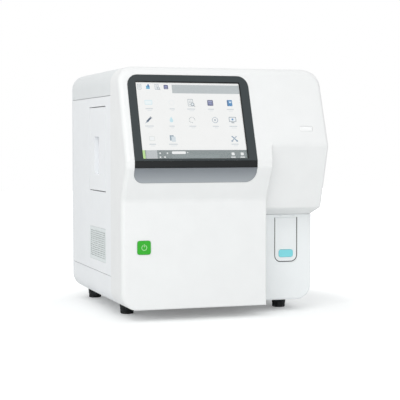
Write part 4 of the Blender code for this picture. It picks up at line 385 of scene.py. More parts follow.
def round_edges(
    piece: Piece, radius: float, steps: int, test: Callable[[Any], bool]
) -> Piece:
    """Rounds the edges of a piece that pass a test, and returns it."""
    if choose(piece, Part.EDGE, test):
        bpy.ops.mesh.bevel(offset=radius, segments=steps, affect="EDGES", clamp_overlap=True)
    leave_edit()
    return piece


def soften(piece: Piece, radius: float, steps: int = 2, angle: float = 40.0) -> Piece:
    """Rounds every edge of a piece sharper than an angle, and returns it."""
    take_up(piece)
    edges = piece.modifiers.new("edges", "BEVEL")
    edges.width = radius
    edges.segments = steps
    edges.limit_method = "ANGLE"
    edges.angle_limit = math.radians(angle)
    bpy.ops.object.modifier_apply(modifier=edges.name)
    return piece


def even_out(piece: Piece) -> None:
    """Gives a piece smooth fillets beside flat faces."""
    take_up(piece)
    bpy.ops.object.shade_smooth_by_angle(angle=SMOOTH_ANGLE)
    weights = piece.modifiers.new("weights", "WEIGHTED_NORMAL")
    weights.keep_sharp = True
    bpy.ops.object.modifier_apply(modifier=weights.name)


def sharp(edge: Any, angle: float = 30.0) -> bool:
    """Says whether an edge turns by more than an angle."""
    return len(edge.link_faces) == 2 and edge.calc_face_angle(0.0) > math.radians(angle)


# Finishes


def linear(code: str) -> Shade:
    """Returns an sRGB hex colour as linear values."""
    shares = [int(code[index : index + 2], 16) / 255 for index in (1, 3, 5)]
    values = [
        share / 12.92 if share <= 0.04045 else ((share + 0.055) / 1.055) ** 2.4 for share in shares
    ]
    return (values[0], values[1], values[2], 1.0)


def shaded(code: str, share: float) -> Shade:
    """Returns a hex colour as linear values, made darker or lighter by a share."""
    red, green, blue = (min(value * share, 1.0) for value in linear(code)[:3])
    return (red, green, blue, 1.0)


def add_node(
    tree: Tree, kind: str, inputs: dict[Any, Any] | None = None, **settings: Any
) -> Node:
    """Adds a node with its settings, values and links.

    Args:
        tree: the tree it goes into.
        kind: its type, without the common start of the name.
        inputs: a value or another node's output for each input.
        settings: the node's own properties.

    Returns:
        The node.
    """
    node = tree.nodes.new("ShaderNode" + kind)
    for name, value in settings.items():
        setattr(node, name, value)
    for name, value in (inputs or {}).items():
        if isinstance(value, bpy.types.NodeSocket):
            tree.links.new(value, node.inputs[name])
        else:
            node.inputs[name].default_value = value
    return node


def per_mm(size: float) -> float:
    """Returns the pattern scale at which a texture's cells are a size in millimetres."""
    return 1000.0 / size


def noise(tree: Tree, at: Socket, size: float, detail: float) -> Socket:
    """Adds a cloudy pattern with patches of a size in millimetres and returns its share."""
    inputs = {"Vector": at, "Scale": per_mm(size), "Detail": detail}
    return add_node(tree, "TexNoise", inputs).outputs["Fac"]


def blend(tree: Tree, shader: Node, share: Socket, first: Shade, second: Shade) -> None:
    """Colours a surface between two shades by a share."""
    mix = add_node(tree, "Mix", {0: share, 6: first, 7: second}, data_type="RGBA")
    tree.links.new(mix.outputs[2], shader.inputs["Base Color"])


def emboss(tree: Tree, shader: Node, height: Socket, depth: float, strength: float) -> None:
    """Raises a surface by a pattern."""
    bump = add_node(tree, "Bump", {"Height": height, "Distance": depth, "Strength": strength})
    tree.links.new(bump.outputs["Normal"], shader.inputs["Normal"])


@dataclass(frozen=True)
class Finish:
    """A surface with faint clouding, uneven gloss and a fine grain.

    The grain of a real one is finer than the render's pixels, so it is drawn at about a
    millimetre, where it still breaks up the light.
    """

    name: str
    colour: str
    roughness: float
    metallic: float = 0.0
    ior: float = 1.5
    specular: float = 0.5
    cloud_share: float = 0.03
    cloud_mm: float = 40.0
    gloss_spread: float = 0.05
    gloss_mm: float = 6.0
    grain_mm: float = 0.9
    grain_depth: float = 0.00001
    stretch: Place = (1.0, 1.0, 1.0)

    def material(self) -> bpy.types.Material:
        """Returns the material, made the first time it is asked for."""
        made = bpy.data.materials.get(self.name)
        if made is not None:
            return made
        made = bpy.data.materials.new(self.name)
        made.use_nodes = True
        tree = made.node_tree
        tree.nodes.clear()
        values = {"Metallic": self.metallic, "Roughness": self.roughness}
        shader = add_node(tree, "BsdfPrincipled", values)
        if not self.metallic:
            shader.inputs["IOR"].default_value = self.ior
            shader.inputs["Specular IOR Level"].default_value = self.specular
        add_node(tree, "OutputMaterial", {"Surface": shader.outputs["BSDF"]})
        self.dress(tree, shader, add_node(tree, "TexCoord").outputs["Object"])
        return made

    def dress(self, tree: Tree, shader: Node, at: Socket) -> None:
        """Adds the patterns of colour, gloss and relief.

        Args:
            tree: the material's tree.
            shader: its surface shader.
            at: the place on the surface.
        """
        drawn = add_node(tree, "Mapping", {"Vector": at, "Scale": self.stretch}).outputs["Vector"]
        self.tint(tree, shader, at)
        spread = add_node(tree, "MapRange", {
            "Value": noise(tree, drawn, self.gloss_mm, 3.0),
            "To Min": max(self.roughness - self.gloss_spread, 0.02),
            "To Max": min(self.roughness + self.gloss_spread, 1.0),
        })
        tree.links.new(spread.outputs["Result"], shader.inputs["Roughness"])
        self.relief(tree, shader, drawn)

    def tint(self, tree: Tree, shader: Node, at: Socket) -> None:
        """Clouds the colour a little, from a shade darker to a shade lighter."""
        dark, pale = (shaded(self.colour, 1 + way * self.cloud_share) for way in (-1, 1))
        blend(tree, shader, noise(tree, at, self.cloud_mm, 4.0), dark, pale)

    def relief(self, tree: Tree, shader: Node, at: Socket) -> None:
        """Raises the fine grain."""
        emboss(tree, shader, noise(tree, at, self.grain_mm, 2.0), self.grain_depth, 0.5)


@dataclass(frozen=True)
class MouldedShell(Finish):
    """ABS moulded in a spark-eroded tool: even, matt, with a faint pebbled grain."""


@dataclass(frozen=True)
class SilverWithPaintedShade(Finish):
    """Silver paint on plastic with fine flakes, and a painted shade that darkens it towards the
    upper edge.
    """

    # Colour of the painted shade at the upper edge, and the heights over which it fades in
    painted_shade_colour: str = "#7f848a"
    low_z: float = 0.280
    high_z: float = 0.308
    flake_share: float = 0.16

    def tint(self, tree: Tree, shader: Node, at: Socket) -> None:
        """Fades the silver into its painted shade from the lower edge to the upper one, with the
        flakes in it.
        """
        height = add_node(tree, "SeparateXYZ", {"Vector": at}).outputs["Z"]
        rise = add_node(tree, "MapRange", {
            "Value": height, "From Min": self.low_z, "From Max": self.high_z,
        })
        flake = noise(tree, at, self.grain_mm, 2.0)
        flakes_and_painted_shade = add_node(tree, "Math", {
            0: flake, 1: self.flake_share, 2: rise.outputs["Result"],
        }, operation="MULTIPLY_ADD")
        blend(tree, shader, flakes_and_painted_shade.outputs[0], linear(self.colour), linear(self.painted_shade_colour))


@dataclass(frozen=True)
class PaintedSheet(Finish):
    """Steel sheet with powder coat: a soft sheen broken by a low orange peel of about 2 mm."""

    grain_mm: float = 2.0
    grain_depth: float = 0.00003


@dataclass(frozen=True)
class MetalSheet(Finish):
    """Zinc-coated sheet: crystals of a few millimetres, each with its own shade and gloss."""

    spangle_mm: float = 7.0
    darkest: float = 0.82

    def tint(self, tree: Tree, shader: Node, at: Socket) -> None:
        """Shades each crystal by itself."""
        cells = add_node(tree, "TexVoronoi", {"Vector": at, "Scale": per_mm(self.spangle_mm)})
        shade = add_node(tree, "SeparateColor", {"Color": cells.outputs["Color"]})
        dark = shaded(self.colour, self.darkest)
        blend(tree, shader, shade.outputs["Red"], dark, linear(self.colour))


@dataclass(frozen=True)
class ClearPart(Finish):
    """Clear acrylic or glass: light goes through, with a slight tint and clean edges."""

    passing: float = 1.0

    def dress(self, tree: Tree, shader: Node, at: Socket) -> None:
        """Lets light through and leaves only faint wipe marks in the gloss."""
        shader.inputs["Transmission Weight"].default_value = self.passing
        super().dress(tree, shader, at)


@dataclass(frozen=True)
class FilterFleece(Finish):
    """White filter fleece: matt, with open pores of about 1.5 mm that show as soft dents."""

    pore_mm: float = 1.6
    pore_depth: float = 0.0006

    def relief(self, tree: Tree, shader: Node, at: Socket) -> None:
        """Sinks the pores."""
        pores = add_node(tree, "TexVoronoi", {"Vector": at, "Scale": per_mm(self.pore_mm)})
        emboss(tree, shader, pores.outputs["Distance"], self.pore_depth, 0.9)


@dataclass(frozen=True)
class BoardMask(Finish):
    """Green solder mask over copper: paler tracks of about half a millimetre, laid squarely."""

    track: str = "#3f9a5f"
    track_mm: float = 3.4

    def tint(self, tree: Tree, shader: Node, at: Socket) -> None:
        """Draws the tracks as bricks with thin joints."""
        upright = add_node(tree, "Mapping", {"Vector": at, "Rotation": (0.0, math.pi / 2, 0.0)})
        base = linear(self.colour)
        bricks = add_node(tree, "TexBrick", {
            "Vector": upright.outputs["Vector"], "Scale": per_mm(self.track_mm * 4),
            "Color1": base, "Color2": base, "Mortar": linear(self.track),
            "Mortar Size": 0.035, "Brick Width": 1.7, "Row Height": 0.28,
        })
        tree.links.new(bricks.outputs["Color"], shader.inputs["Base Color"])


@dataclass(frozen=True)
class LitPicture(Finish):
    """A lit liquid crystal panel: each patch glows in its own painted colour."""

    glow: float = 0.96
    row_mm: float = 2.0
    row_dim: float = 0.985

    def dress(self, tree: Tree, shader: Node, at: Socket) -> None:
        """Lights the painted colours, with the faint rows of the panel."""
        paint = add_node(tree, "Attribute", attribute_name="paint").outputs["Color"]
        rows = add_node(tree, "TexWave", {
            "Vector": at, "Scale": per_mm(self.row_mm), "Distortion": 0.0,
        }, bands_direction="Z")
        dim = add_node(tree, "MapRange", {"Value": rows.outputs["Fac"], "To Min": self.row_dim})
        lit = add_node(tree, "VectorMath", {
            0: paint, "Scale": dim.outputs["Result"],
        }, operation="SCALE")
        shader.inputs["Base Color"].default_value = linear(self.colour)
        shader.inputs["Emission Strength"].default_value = self.glow
        tree.links.new(lit.outputs["Vector"], shader.inputs["Emission Color"])


WHITE_COVER = MouldedShell("moulded_white_abs", "#ebecec", 0.46)
PANEL_COVER = MouldedShell("moulded_cool_white_abs", "#e4e7e9", 0.46)
PAINTED_SHEET = PaintedSheet("powder_coated_cool_white", "#eff1f3", 0.5)
# A cooler white than the cover, made lighter as painted light that offsets the shade in the recess
RECESS_COVER_PAINTED_LIGHT = MouldedShell("moulded_recess_abs", "#f0f3f4", 0.46)
GRILLE = MouldedShell("moulded_pale_grille", "#e2e8e8", 0.5)
# The side sheets' powder coat, darker: painted shade that tones down the light on the top
TOP_SKIN_PAINTED_SHADE = PaintedSheet("powder_coated_top", "#e2e5e6", 0.5)
BEZEL = MouldedShell("moulded_slate_bezel", "#273033", 0.4, grain_depth=0.000006)
CREST_STRIP = MouldedShell("moulded_black_strip", "#0c1012", 0.4, specular=0.3,
                           grain_depth=0.000004)
SCREW = Finish("zinc_plated_screw", "#c9cbcc", 0.3, 1.0, grain_mm=0.5, grain_depth=0.000004)
WHITE_NYLON = MouldedShell("moulded_white_nylon", "#e9e8e2", 0.4)
SILICONE = ClearPart("silicone_tube", "#f3f1ea", 0.35, ior=1.41, passing=0.55, grain_depth=0.0)
COIL = PaintedSheet("black_potted_coil", "#202326", 0.38, grain_mm=1.4, grain_depth=0.00001)
PORT_COLOURS = tuple(MouldedShell(f"moulded_{name}_collar", code, 0.4) for name, code in (
    ("yellow", "#d9b646"), ("blue", "#4c8fc4"), ("white", "#e3e6e7"), ("red", "#c9675b"),
))
# Black rubber for the drawer's seal, and painted shade for the lining of the screen's window
BLACK_SEAL_AND_PAINTED_SHADE = MouldedShell("black_gasket", "#121516", 0.6, ior=1.52, gloss_spread=0.06)
# The chin's silver, with a painted shade towards its upper edge
SILVER = SilverWithPaintedShade("silver_painted_chin", "#a9aeb3", 0.34, metallic=0.35, grain_mm=0.7)
GREEN = MouldedShell("moulded_green_key", "#21aa10", 0.38)
GREEN_MARK = MouldedShell("pale_green_mark", "#a9dd9f", 0.4)
CYAN = MouldedShell("moulded_cyan_key", "#84dde6", 0.36)
GREY = MouldedShell("moulded_grey", "#cdd4d6", 0.5)
BLACK = MouldedShell("moulded_black_nylon", "#1b1d1f", 0.45)
DARK_PLATE = MouldedShell("dark_display_frame", "#141618", 0.4)
RUBBER = MouldedShell("moulded_rubber", "#181b1d", 0.82, ior=1.52, gloss_spread=0.08,
                      grain_depth=0.00003)
FLEECE = FilterFleece("white_filter_fleece", "#f2f4f3", 0.95)
# Ground and drawn metals: fine parallel scratches a few tenths of a millimetre apart
STEEL = Finish("drawn_steel", "#c4c7c9", 0.26, 1.0, grain_mm=1.2, grain_depth=0.000006,
               stretch=(1, 1, 0.05))
ZINC = MetalSheet("zinc_coated_sheet", "#bcbfc0", 0.42, 1.0, gloss_mm=7.0, gloss_spread=0.12)
ALUMINIUM = Finish("brushed_aluminium", "#d3d5d7", 0.36, 1.0, grain_mm=0.8,
                   grain_depth=0.000006, stretch=(1, 0.05, 1))
MOTOR = PaintedSheet("black_lacquered_motor", "#2a2d30", 0.35)
BRASS = Finish("turned_brass", "#c9a765", 0.3, 1.0, grain_mm=0.6, grain_depth=0.000005,
               stretch=(1, 1, 8))
BOARD = BoardMask("solder_mask", "#12663a", 0.42)
GLASS = ClearPart("coated_touch_glass", "#ffffff", 0.03, ior=1.5, specular=0.15,
                  gloss_spread=0.01, grain_depth=0.0)
CLEAR = ClearPart("clear_acrylic", "#f2f6f8", 0.08, ior=1.49, gloss_spread=0.03, grain_depth=0.0)
LENS = ClearPart("frosted_lamp_lens", "#fbfcfc", 0.35, ior=1.49, passing=0.08, grain_depth=0.0)
PICTURE = LitPicture("lit_panel", "#101214", 0.4, specular=0.15)

SLOT_FINISHES = {
    "white_cover": WHITE_COVER, "blue_white_paint": PAINTED_SHEET, "blue_white_cover": PANEL_COVER,
    "bezel_plastic": BEZEL, "silver_plastic": SILVER, "screen_glass": GLASS, "display": DARK_PLATE,
    "green_plastic": GREEN, "cyan_plastic": CYAN, "grey_plastic": GREY, "black_plastic": BLACK,
    "clear_plastic": CLEAR, "rubber": RUBBER, "foam": FLEECE, "steel": STEEL, "zinc_sheet": ZINC,
    "aluminium": ALUMINIUM, "motor_case": MOTOR, "brass": BRASS, "circuit_board": BOARD,
}


def hand_over(
    piece: Piece, finish: Finish, body: str = "analyzer", stands_for: Sequence[str] = (),
    smooth: bool = True,
) -> Piece:
    """Finishes a piece: shades it, dresses it and lets it ride on its body.

    Args:
        piece: the finished mesh.
        finish: what it is made of.
        body: the moving body it belongs to.
        stands_for: the frame's nodes that it is shown instead of.
        smooth: whether its fillets are shaded smooth.

    Returns:
        The piece.
    """
    if smooth:
        even_out(piece)
    clear_selection()
    piece.data.materials.clear()
    piece.data.materials.append(finish.material())
    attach(piece, body)
    if stands_for:
        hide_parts(*stands_for)
    return piece


@dataclass(frozen=True)
class Shape:
    """Sizes and places that several sub-assemblies share, in metres."""

    half_width: float = 0.218
    floor_z: float = 0.0235
    top_z: float = 0.510
    corner: float = 0.033
    seam_y: float = -0.1202
    face_y: float = -0.2072
    crest_y: float = CREST_Y
    bend_z: float = 0.242
    crest_low_z: float = 0.308
    crest_high_z: float = CREST_Z
    niche_x: float = 0.089
    niche_y: float = -0.1405
    niche_top_z: float = 0.2054
    ridge_z: float = 0.354
    rear_seam_y: float = 0.2265
    rear_y: float = 0.241
    gap: float = 0.0003
    sheet: float = 0.002
    wall: float = 0.003

    def front_at(self, height: float) -> float:
        """Returns where the creased front stands at a height."""
        if height <= self.bend_z:
            return self.face_y
        if height <= self.crest_low_z:
            rise = (height - self.bend_z) / (self.crest_low_z - self.bend_z)
            return self.face_y + (self.crest_y - self.face_y) * rise
        return self.crest_y + max(height - self.crest_high_z, 0.0) * math.tan(LEAN)

    def up_face(self, height: float) -> float:
        """Returns how far up the leaning face a height is."""
        return (height - self.crest_high_z) / math.cos(LEAN)


SHAPE = Shape()


# Sub-assemblies


@dataclass
class FrontCover:
    """The moulded front: the creased slab on the left, the nose on the right and their fillets."""

    side_fillet: float = 0.009
    top_fillet: float = 0.016
    low_fillet: float = 0.0035
    bend_radius: float = 0.020
    crest_radius: float = 0.0105
    ridge_radius: float = 0.007
    slab_radius: float = 0.0035
    nose_foot: Spot = (-0.1902, 0.221)
    nose_radius: float = 0.008
    blend_radius: float = 0.007
    nose_side_radius: float = 0.006
    steps: int = 6
    # Where the crossed forms and the niche start and end, clear of the cover
    over: float = 0.02
    start_y: float = -0.29
    niche_front: Spot = (-0.30, -0.02)
    niche_past: float = 0.03
    # What tells the edges apart: the nose's depths, the distances from the slab and from the
    # ridge, and the least turn of an edge in degrees
    nose_y: Spot = (-0.26, -0.15)
    nose_below: float = 0.003
    slab_reach: float = 0.012
    ridge_reach: float = 0.004
    ridge_below: float = 0.001
    rim_depth: float = 0.03
    least_turn: float = 18.0

    def form(self, inset: float) -> Piece:
        """Crosses the side profile with the front outline, inside the surface by an inset."""
        s = SHAPE
        back = inset / math.cos(LEAN)
        over = self.over
        rear = s.seam_y + (over if inset else 0.0)
        low, high = s.floor_z + inset, s.top_z - inset
        side = [
            (rear, low - over), (s.face_y + back, low - over), (s.face_y + back, s.bend_z),
            (s.crest_y + back, s.crest_low_z), (s.crest_y + back, s.crest_high_z),
            (s.front_at(high + over) + back, high + over), (rear, high + over),
        ]
        side_radii = [0.0, 0.0, self.bend_radius, self.crest_radius, self.crest_radius, 0.0, 0.0]
        half = s.half_width - inset
        profile = solid("cover_profile", View.SIDE, side, -half - over, half + over, side_radii,
                        self.steps)
        corners = span(-half, half, low, high)
        radii = s.corner - inset
        form = solid("front_shell", View.FRONT, corners, self.start_y, rear + over, radii, 14)
        return combine(form, "INTERSECT", profile)

    def niche(self, grow: float) -> Piece:
        """The room in front of the nose and the sampling panel, with a rounded inner edge."""
        s = SHAPE
        foot_y, foot_z = self.nose_foot
        slope = math.atan2(s.front_at(s.ridge_z) - foot_y, s.ridge_z - foot_z)
        (front, low), past, back = self.niche_front, self.niche_past, grow / math.cos(slope)
        side = [
            (front, low), (s.seam_y + past, low), (s.seam_y + past, s.niche_top_z + grow),
            (s.niche_y + grow, s.niche_top_z + grow), (foot_y + back, foot_z + grow),
            (s.front_at(s.ridge_z) + back, s.ridge_z + grow), (front, s.ridge_z + grow),
        ]
        radii = [0.0, 0.0, 0.0, 0.0, self.nose_radius, 0.0, 0.0]
        left = s.niche_x - grow
        niche = solid("niche", View.SIDE, side, left, s.half_width + past, radii, 6)
        if grow:
            return niche

        def inner_edge(edge: Any) -> bool:
            """Says whether an edge lies between the niche's left side and its nose side."""
            here = middle(edge)
            on_nose = self.nose_y[0] < here.y < self.nose_y[1]
            above = here.z > foot_z - self.nose_below
            return abs(here.x - left) < NEAR and on_nose and above and sharp(edge)

        return round_edges(niche, self.blend_radius, 5, inner_edge)

    def build(self) -> None:
        """Builds the shell and its openings."""
        s = SHAPE
        shell = cut(self.form(0.0), self.niche(0.0))
        self.fillet(shell, 0.0)
        hollow = self.form(s.wall)
        self.fillet(hollow, s.wall)
        cut(shell, cut(hollow, self.niche(s.wall)))
        cut(shell, Display().opening("screen_opening", s.gap), PowerKey().hole(),
            StatusLamp().hole())
        hand_over(shell, WHITE_COVER, stands_for=("front_cover",))

    def fillet(self, shell: Piece, inset: float) -> None:
        """Rounds the ridge, the slab's edge and the rim, each by its own radius.

        Args:
            shell: the form to round.
            inset: how far the form lies inside the outer surface.
        """
        s = SHAPE
        side, widest = self.side_fillet - inset, self.top_fillet - inset
        low = max(self.low_fillet - inset, NEAR)
        reach, least_turn = self.slab_reach, math.radians(self.least_turn)

        def weight_of(edge: Any) -> float:
            """Returns an edge's share of the widest fillet."""
            if len(edge.link_faces) != 2 or edge.calc_face_angle(0.0) < least_turn:
                return 0.0
            if edge.calc_face_angle_signed(0.0) < 0:
                return 0.0
            here = middle(edge)
            normals = [face.normal for face in edge.link_faces]
            fronts = [normal for normal in normals if normal.y < -0.25]
            sides = [normal for normal in normals if abs(normal.y) < 0.05]
            along = (edge.verts[0].co - edge.verts[1].co).normalized()
            if len(fronts) == 2:
                level = abs(along.x) > 0.9 and abs(here.z - s.ridge_z) < self.ridge_reach
                return self.ridge_radius / widest if level and here.x > s.niche_x else 0.0
            if len(fronts) == 1 and len(sides) == 1 and here.y < s.seam_y - self.rim_depth:
                if not inset and abs(here.x - s.niche_x) < reach and abs(along.x) < 0.7:
                    depth = max(s.ridge_z - here.z, 0.0) / (s.ridge_z - s.crest_high_z)
                    return self.slab_radius * min(depth, 1.0) / widest
                below = here.z < s.ridge_z - self.ridge_below
                if not inset and here.x > s.niche_x + reach and below:
                    return self.nose_side_radius / widest
                up, down = max(sides[0].z, 0.0), max(-sides[0].z, 0.0)
                return (side + (widest - side) * up * up + (low - side) * down * down) / widest
            return 0.0

        # Opens the shell for editing with nothing chosen
        choose(shell, Part.EDGE, lambda edge: False)
        form = bmesh.from_edit_mesh(shell.data)
        layer = form.edges.layers.float.new("bevel_weight_edge")
        for edge in form.edges:
            edge[layer] = weight_of(edge)
        bmesh.update_edit_mesh(shell.data)
        leave_edit()
        rim = shell.modifiers.new("rim", "BEVEL")
        rim.limit_method = "WEIGHT"
        rim.width = widest
        rim.segments = self.steps
        rim.use_clamp_overlap = False
        rim.loop_slide = False
        bpy.ops.object.modifier_apply(modifier=rim.name)


@dataclass
class Display:
    """Bezel, chin, touch glass and the lit picture behind it."""

    left_x: float = -0.2005
    right_x: float = 0.055
    low_z: float = 0.278
    top_z: float = 0.493
    top_radius: float = 0.022
    chin_radius: float = 0.020
    proud: float = 0.0008
    thickness: float = 0.0052
    screen_left: float = -0.184
    screen_right: float = 0.037
    screen_low: float = 0.3255
    screen_high: float = 0.480
    screen_corner: float = 0.003
    lap: float = 0.003
    glass_depth: float = 0.0045
    glass_thickness: float = 0.0015
    lining: float = 0.0012
    lining_depth: Spot = (0.0002, 0.0006)
    cutter_y: Spot = (-0.27, -0.16)
    past: float = 0.02
    over: float = 0.005
    strip_gap: float = 0.0001
    edge: float = 0.0007
    strip_edge: float = 0.0006
    lining_edge: float = 0.0003
    glass_edge: float = 0.0002
    steps: int = 10

    def opening(self, name: str, grow: float) -> Piece:
        """The outline of bezel and chin together, as a cutter."""
        corners = span(self.left_x - grow, self.right_x + grow, self.low_z - grow,
                       self.top_z + grow)
        chin, top = self.chin_radius + grow, self.top_radius + grow
        return solid(name, View.FRONT, corners, *self.cutter_y, [chin, chin, top, top], self.steps)

    def band(self, name: str, levels: Sequence[float]) -> Piece:
        """A strip that follows the creased front between its levels."""
        outer = [(SHAPE.front_at(level) - self.proud, level) for level in levels]
        inner = [(SHAPE.front_at(level) + self.thickness, level) for level in reversed(levels)]
        strip = solid(name, View.SIDE, outer + inner, self.left_x - PAST,
                      self.right_x + PAST)
        return combine(strip, "INTERSECT", self.opening("edge", 0.0))

    def window(self, name: str, grow: float, low: float, high: float) -> Piece:
        """The screen's window on the leaning face, as a solid between two depths."""
        low_v, high_v = SHAPE.up_face(self.screen_low), SHAPE.up_face(self.screen_high)
        left, right = self.screen_left - grow, self.screen_right + grow
        corners = span(left, right, low_v - grow, high_v + grow)
        return solid(name, View.FACE, corners, low, high, self.screen_corner + grow, 6)

    def build(self) -> None:
        """Builds the surround and the screen."""
        s = SHAPE
        frame = self.band("bezel_frame", [s.crest_high_z, self.top_z + self.over])
        cut(frame, self.window("window", 0.0, -self.past, self.past))
        cut(frame, self.window("seat", self.lap + s.gap, -self.past, s.gap - self.glass_depth))
        soften(frame, self.edge, 3, 30)
        hand_over(frame, BEZEL, stands_for=("screen_bezel",))
        strip_top = s.crest_high_z - self.strip_gap
        strip = self.band("crest_strip", [s.crest_low_z + s.gap, strip_top])
        soften(strip, self.strip_edge, 3, 30)
        hand_over(strip, CREST_STRIP, stands_for=("screen_bezel",))
        chin = self.band("chin_strip", [self.low_z - self.over, s.crest_low_z - s.gap])
        soften(chin, self.edge, 3, 30)
        hand_over(chin, SILVER, stands_for=("screen_chin",))
        # A black lining round the window's inner wall: painted shade where the recessed wall lies
        # in shadow
        above_glass, below_face = self.lining_depth
        lining = self.window("window_gasket", -NEAR, above_glass - self.glass_depth, -below_face)
        cut(lining, self.window("inside", -self.lining, -self.past, self.past))
        soften(lining, self.lining_edge)
        hand_over(lining, BLACK_SEAL_AND_PAINTED_SHADE)
        front = -self.glass_depth
        glass = self.window("touch_panel", self.lap, front - self.glass_thickness, front)
        soften(glass, self.glass_edge)
        hand_over(glass, GLASS, stands_for=("touch_glass",))
        ScreenPicture(self).build()


@dataclass(frozen=True)
class Patch:
    """One bar or tile of an icon: its size and place are shares of the icon's size."""

    colour: str
    size: Spot
    at: Spot = (0.0, 0.0)
    level: int = 2
    radius: float = 0.0
    tilt: float = 0.0


@dataclass(frozen=True)
class Dot:
    """One filled circle of an icon, also in shares of the icon's size."""

    colour: str
    radius: float
    at: Spot = (0.0, 0.0)
    level: int = 2


Icon = tuple[Spot, tuple[Patch | Dot, ...]]

# Small icons at the top left, each with its place on the screen
TOOL_ICONS: tuple[Icon, ...] = (
    ((0.122, 0.06), (
        Patch("#58a9cf", (0.66, 0.6), (0.0, -0.1), 2, 0.001),
        Patch("#3c6fa8", (0.3, 0.5), (0.1, 0.22), 3, 0.0006, 20),
    )),
    ((0.292, 0.06), (
        Patch("#3d4272", (0.8, 0.8), radius=0.0012),
        Patch("#8f97c4", (0.5, 0.22), (0.0, 0.1), 3, 0.0004),
        Patch("#c5cae6", (0.5, 0.1), (0.0, -0.2), 3, 0.0002),
    )),
)

# Icons of the grid, row by row
GRID_ICONS: tuple[Icon, ...] = (
    ((0.113, 0.262), (
        Patch("#cdeaf3", (1.0, 0.62), radius=0.0014),
        Patch("#f0f9fb", (0.88, 0.5), level=3, radius=0.001),
    )),
    ((0.70, 0.262), (
        Patch("#5b6285", (0.8, 0.8), radius=0.0014),
        Patch("#a5acd0", (0.52, 0.16), (0.0, 0.16), 3, 0.0003),
        Patch("#8c94c0", (0.52, 0.16), (0.0, -0.12), 3, 0.0003),
    )),
    ((0.888, 0.262), (
        Patch("#3f86bd", (0.72, 0.86), radius=0.001),
        Patch("#2a5f91", (0.14, 0.86), (-0.27, 0.0), 3),
        Patch("#cfe3f1", (0.32, 0.24), (0.08, 0.12), 3, 0.0004),
    )),
    ((0.10, 0.487), (
        Patch("#39516b", (0.82, 0.24), radius=0.0005, tilt=45),
        Patch("#5f7f9c", (0.4, 0.06), (-0.34, -0.34), tilt=45),
        Patch("#39516b", (0.06, 0.36), (0.34, 0.34), tilt=45),
    )),
    ((0.311, 0.487), (Dot("#c5e7f1", 0.24, (0.0, -0.1)),)),
    ((0.507, 0.487), tuple(
        Dot("#97a3aa", 0.055, (0.38 * math.cos(turn), 0.38 * math.sin(turn)))
        for turn in (math.tau * index / 12 for index in range(10))
    )),
    ((0.727, 0.487), (Dot("#b4bfc9", 0.14, level=4),)),
    ((0.897, 0.487), (
        Patch("#7d8b95", (1.0, 0.68), (0.0, 0.1), 2, 0.0011),
        Patch("#eef3f6", (0.86, 0.54), (0.0, 0.1), 3, 0.0007),
        Dot("#3f86bd", 0.13, (0.0, 0.1), 4),
        Patch("#7d8b95", (0.42, 0.1), (0.0, -0.36)),
    )),
    ((0.112, 0.727), (
        Patch("#dfe3df", (0.74, 0.6), radius=0.0013),
        Patch("#f4f7f8", (0.62, 0.48), level=3, radius=0.001),
    )),
    ((0.305, 0.727), (
        Patch("#8fa2b0", (0.56, 0.72), (-0.1, 0.08), 2, 0.0008),
        Patch("#d6e0e6", (0.56, 0.72), (0.1, -0.08), 3, 0.0008),
    )),
    ((0.893, 0.727), (
        Patch("#a9b7c3", (0.95, 0.14), radius=0.0006, tilt=45),
        Patch("#7391ab", (0.95, 0.14), radius=0.0006, tilt=-45),
        Dot("#8aa0b3", 0.12, (-0.34, -0.34)), Dot("#8aa0b3", 0.12, (0.34, -0.34)),
    )),
)

# Where the captions of the grid's icons stand, and their length as a share of the icon's size
CAPTIONS = (
    (0.113, 0.345, 1.0), (0.33, 0.345, 0.7), (0.51, 0.345, 1.1), (0.70, 0.345, 0.85),
    (0.888, 0.345, 1.0), (0.10, 0.568, 1.15), (0.311, 0.568, 0.7), (0.507, 0.568, 0.95),
    (0.727, 0.568, 0.85), (0.897, 0.568, 1.1), (0.112, 0.80, 0.9), (0.305, 0.80, 1.2),
    (0.893, 0.80, 1.0),
)

# Bars and their fields: colour, place, size as shares of the screen, level and corner radius
BARS = (
    ("#b9c0c2", (0.672, 0.084), (0.648, 0.112), 1, 0.0),
    ("#b9e08f", (0.018, 0.938), (0.034, 0.126), 2, 0.001),
    ("#bcc1c3", (0.094, 0.938), (0.104, 0.126), 2, 0.001),
    ("#eff2f2", (0.172, 0.914), (0.014, 0.018), 2, 0.0005),
    ("#eff2f2", (0.172, 0.964), (0.014, 0.018), 2, 0.0005),
    ("#eff2f2", (0.214, 0.964), (0.014, 0.018), 2, 0.0005),
    ("#eff2f2", (0.24, 0.914), (0.014, 0.018), 2, 0.0005),
    ("#f4f6f6", (0.348, 0.908), (0.13, 0.034), 2, 0.0018),
    ("#dfe3e4", (0.43, 0.908), (0.014, 0.012), 2, 0.0004),
    ("#879293", (0.505, 0.96), (0.44, 0.05), 2, 0.001),
    ("#eef1f1", (0.862, 0.926), (0.03, 0.036), 2, 0.0012),
    ("#dfe3e4", (0.862, 0.968), (0.044, 0.014), 2, 0.0006),
    ("#eef1f1", (0.95, 0.926), (0.03, 0.036), 2, 0.0012),
    ("#dfe3e4", (0.95, 0.968), (0.044, 0.014), 2, 0.0006),
)


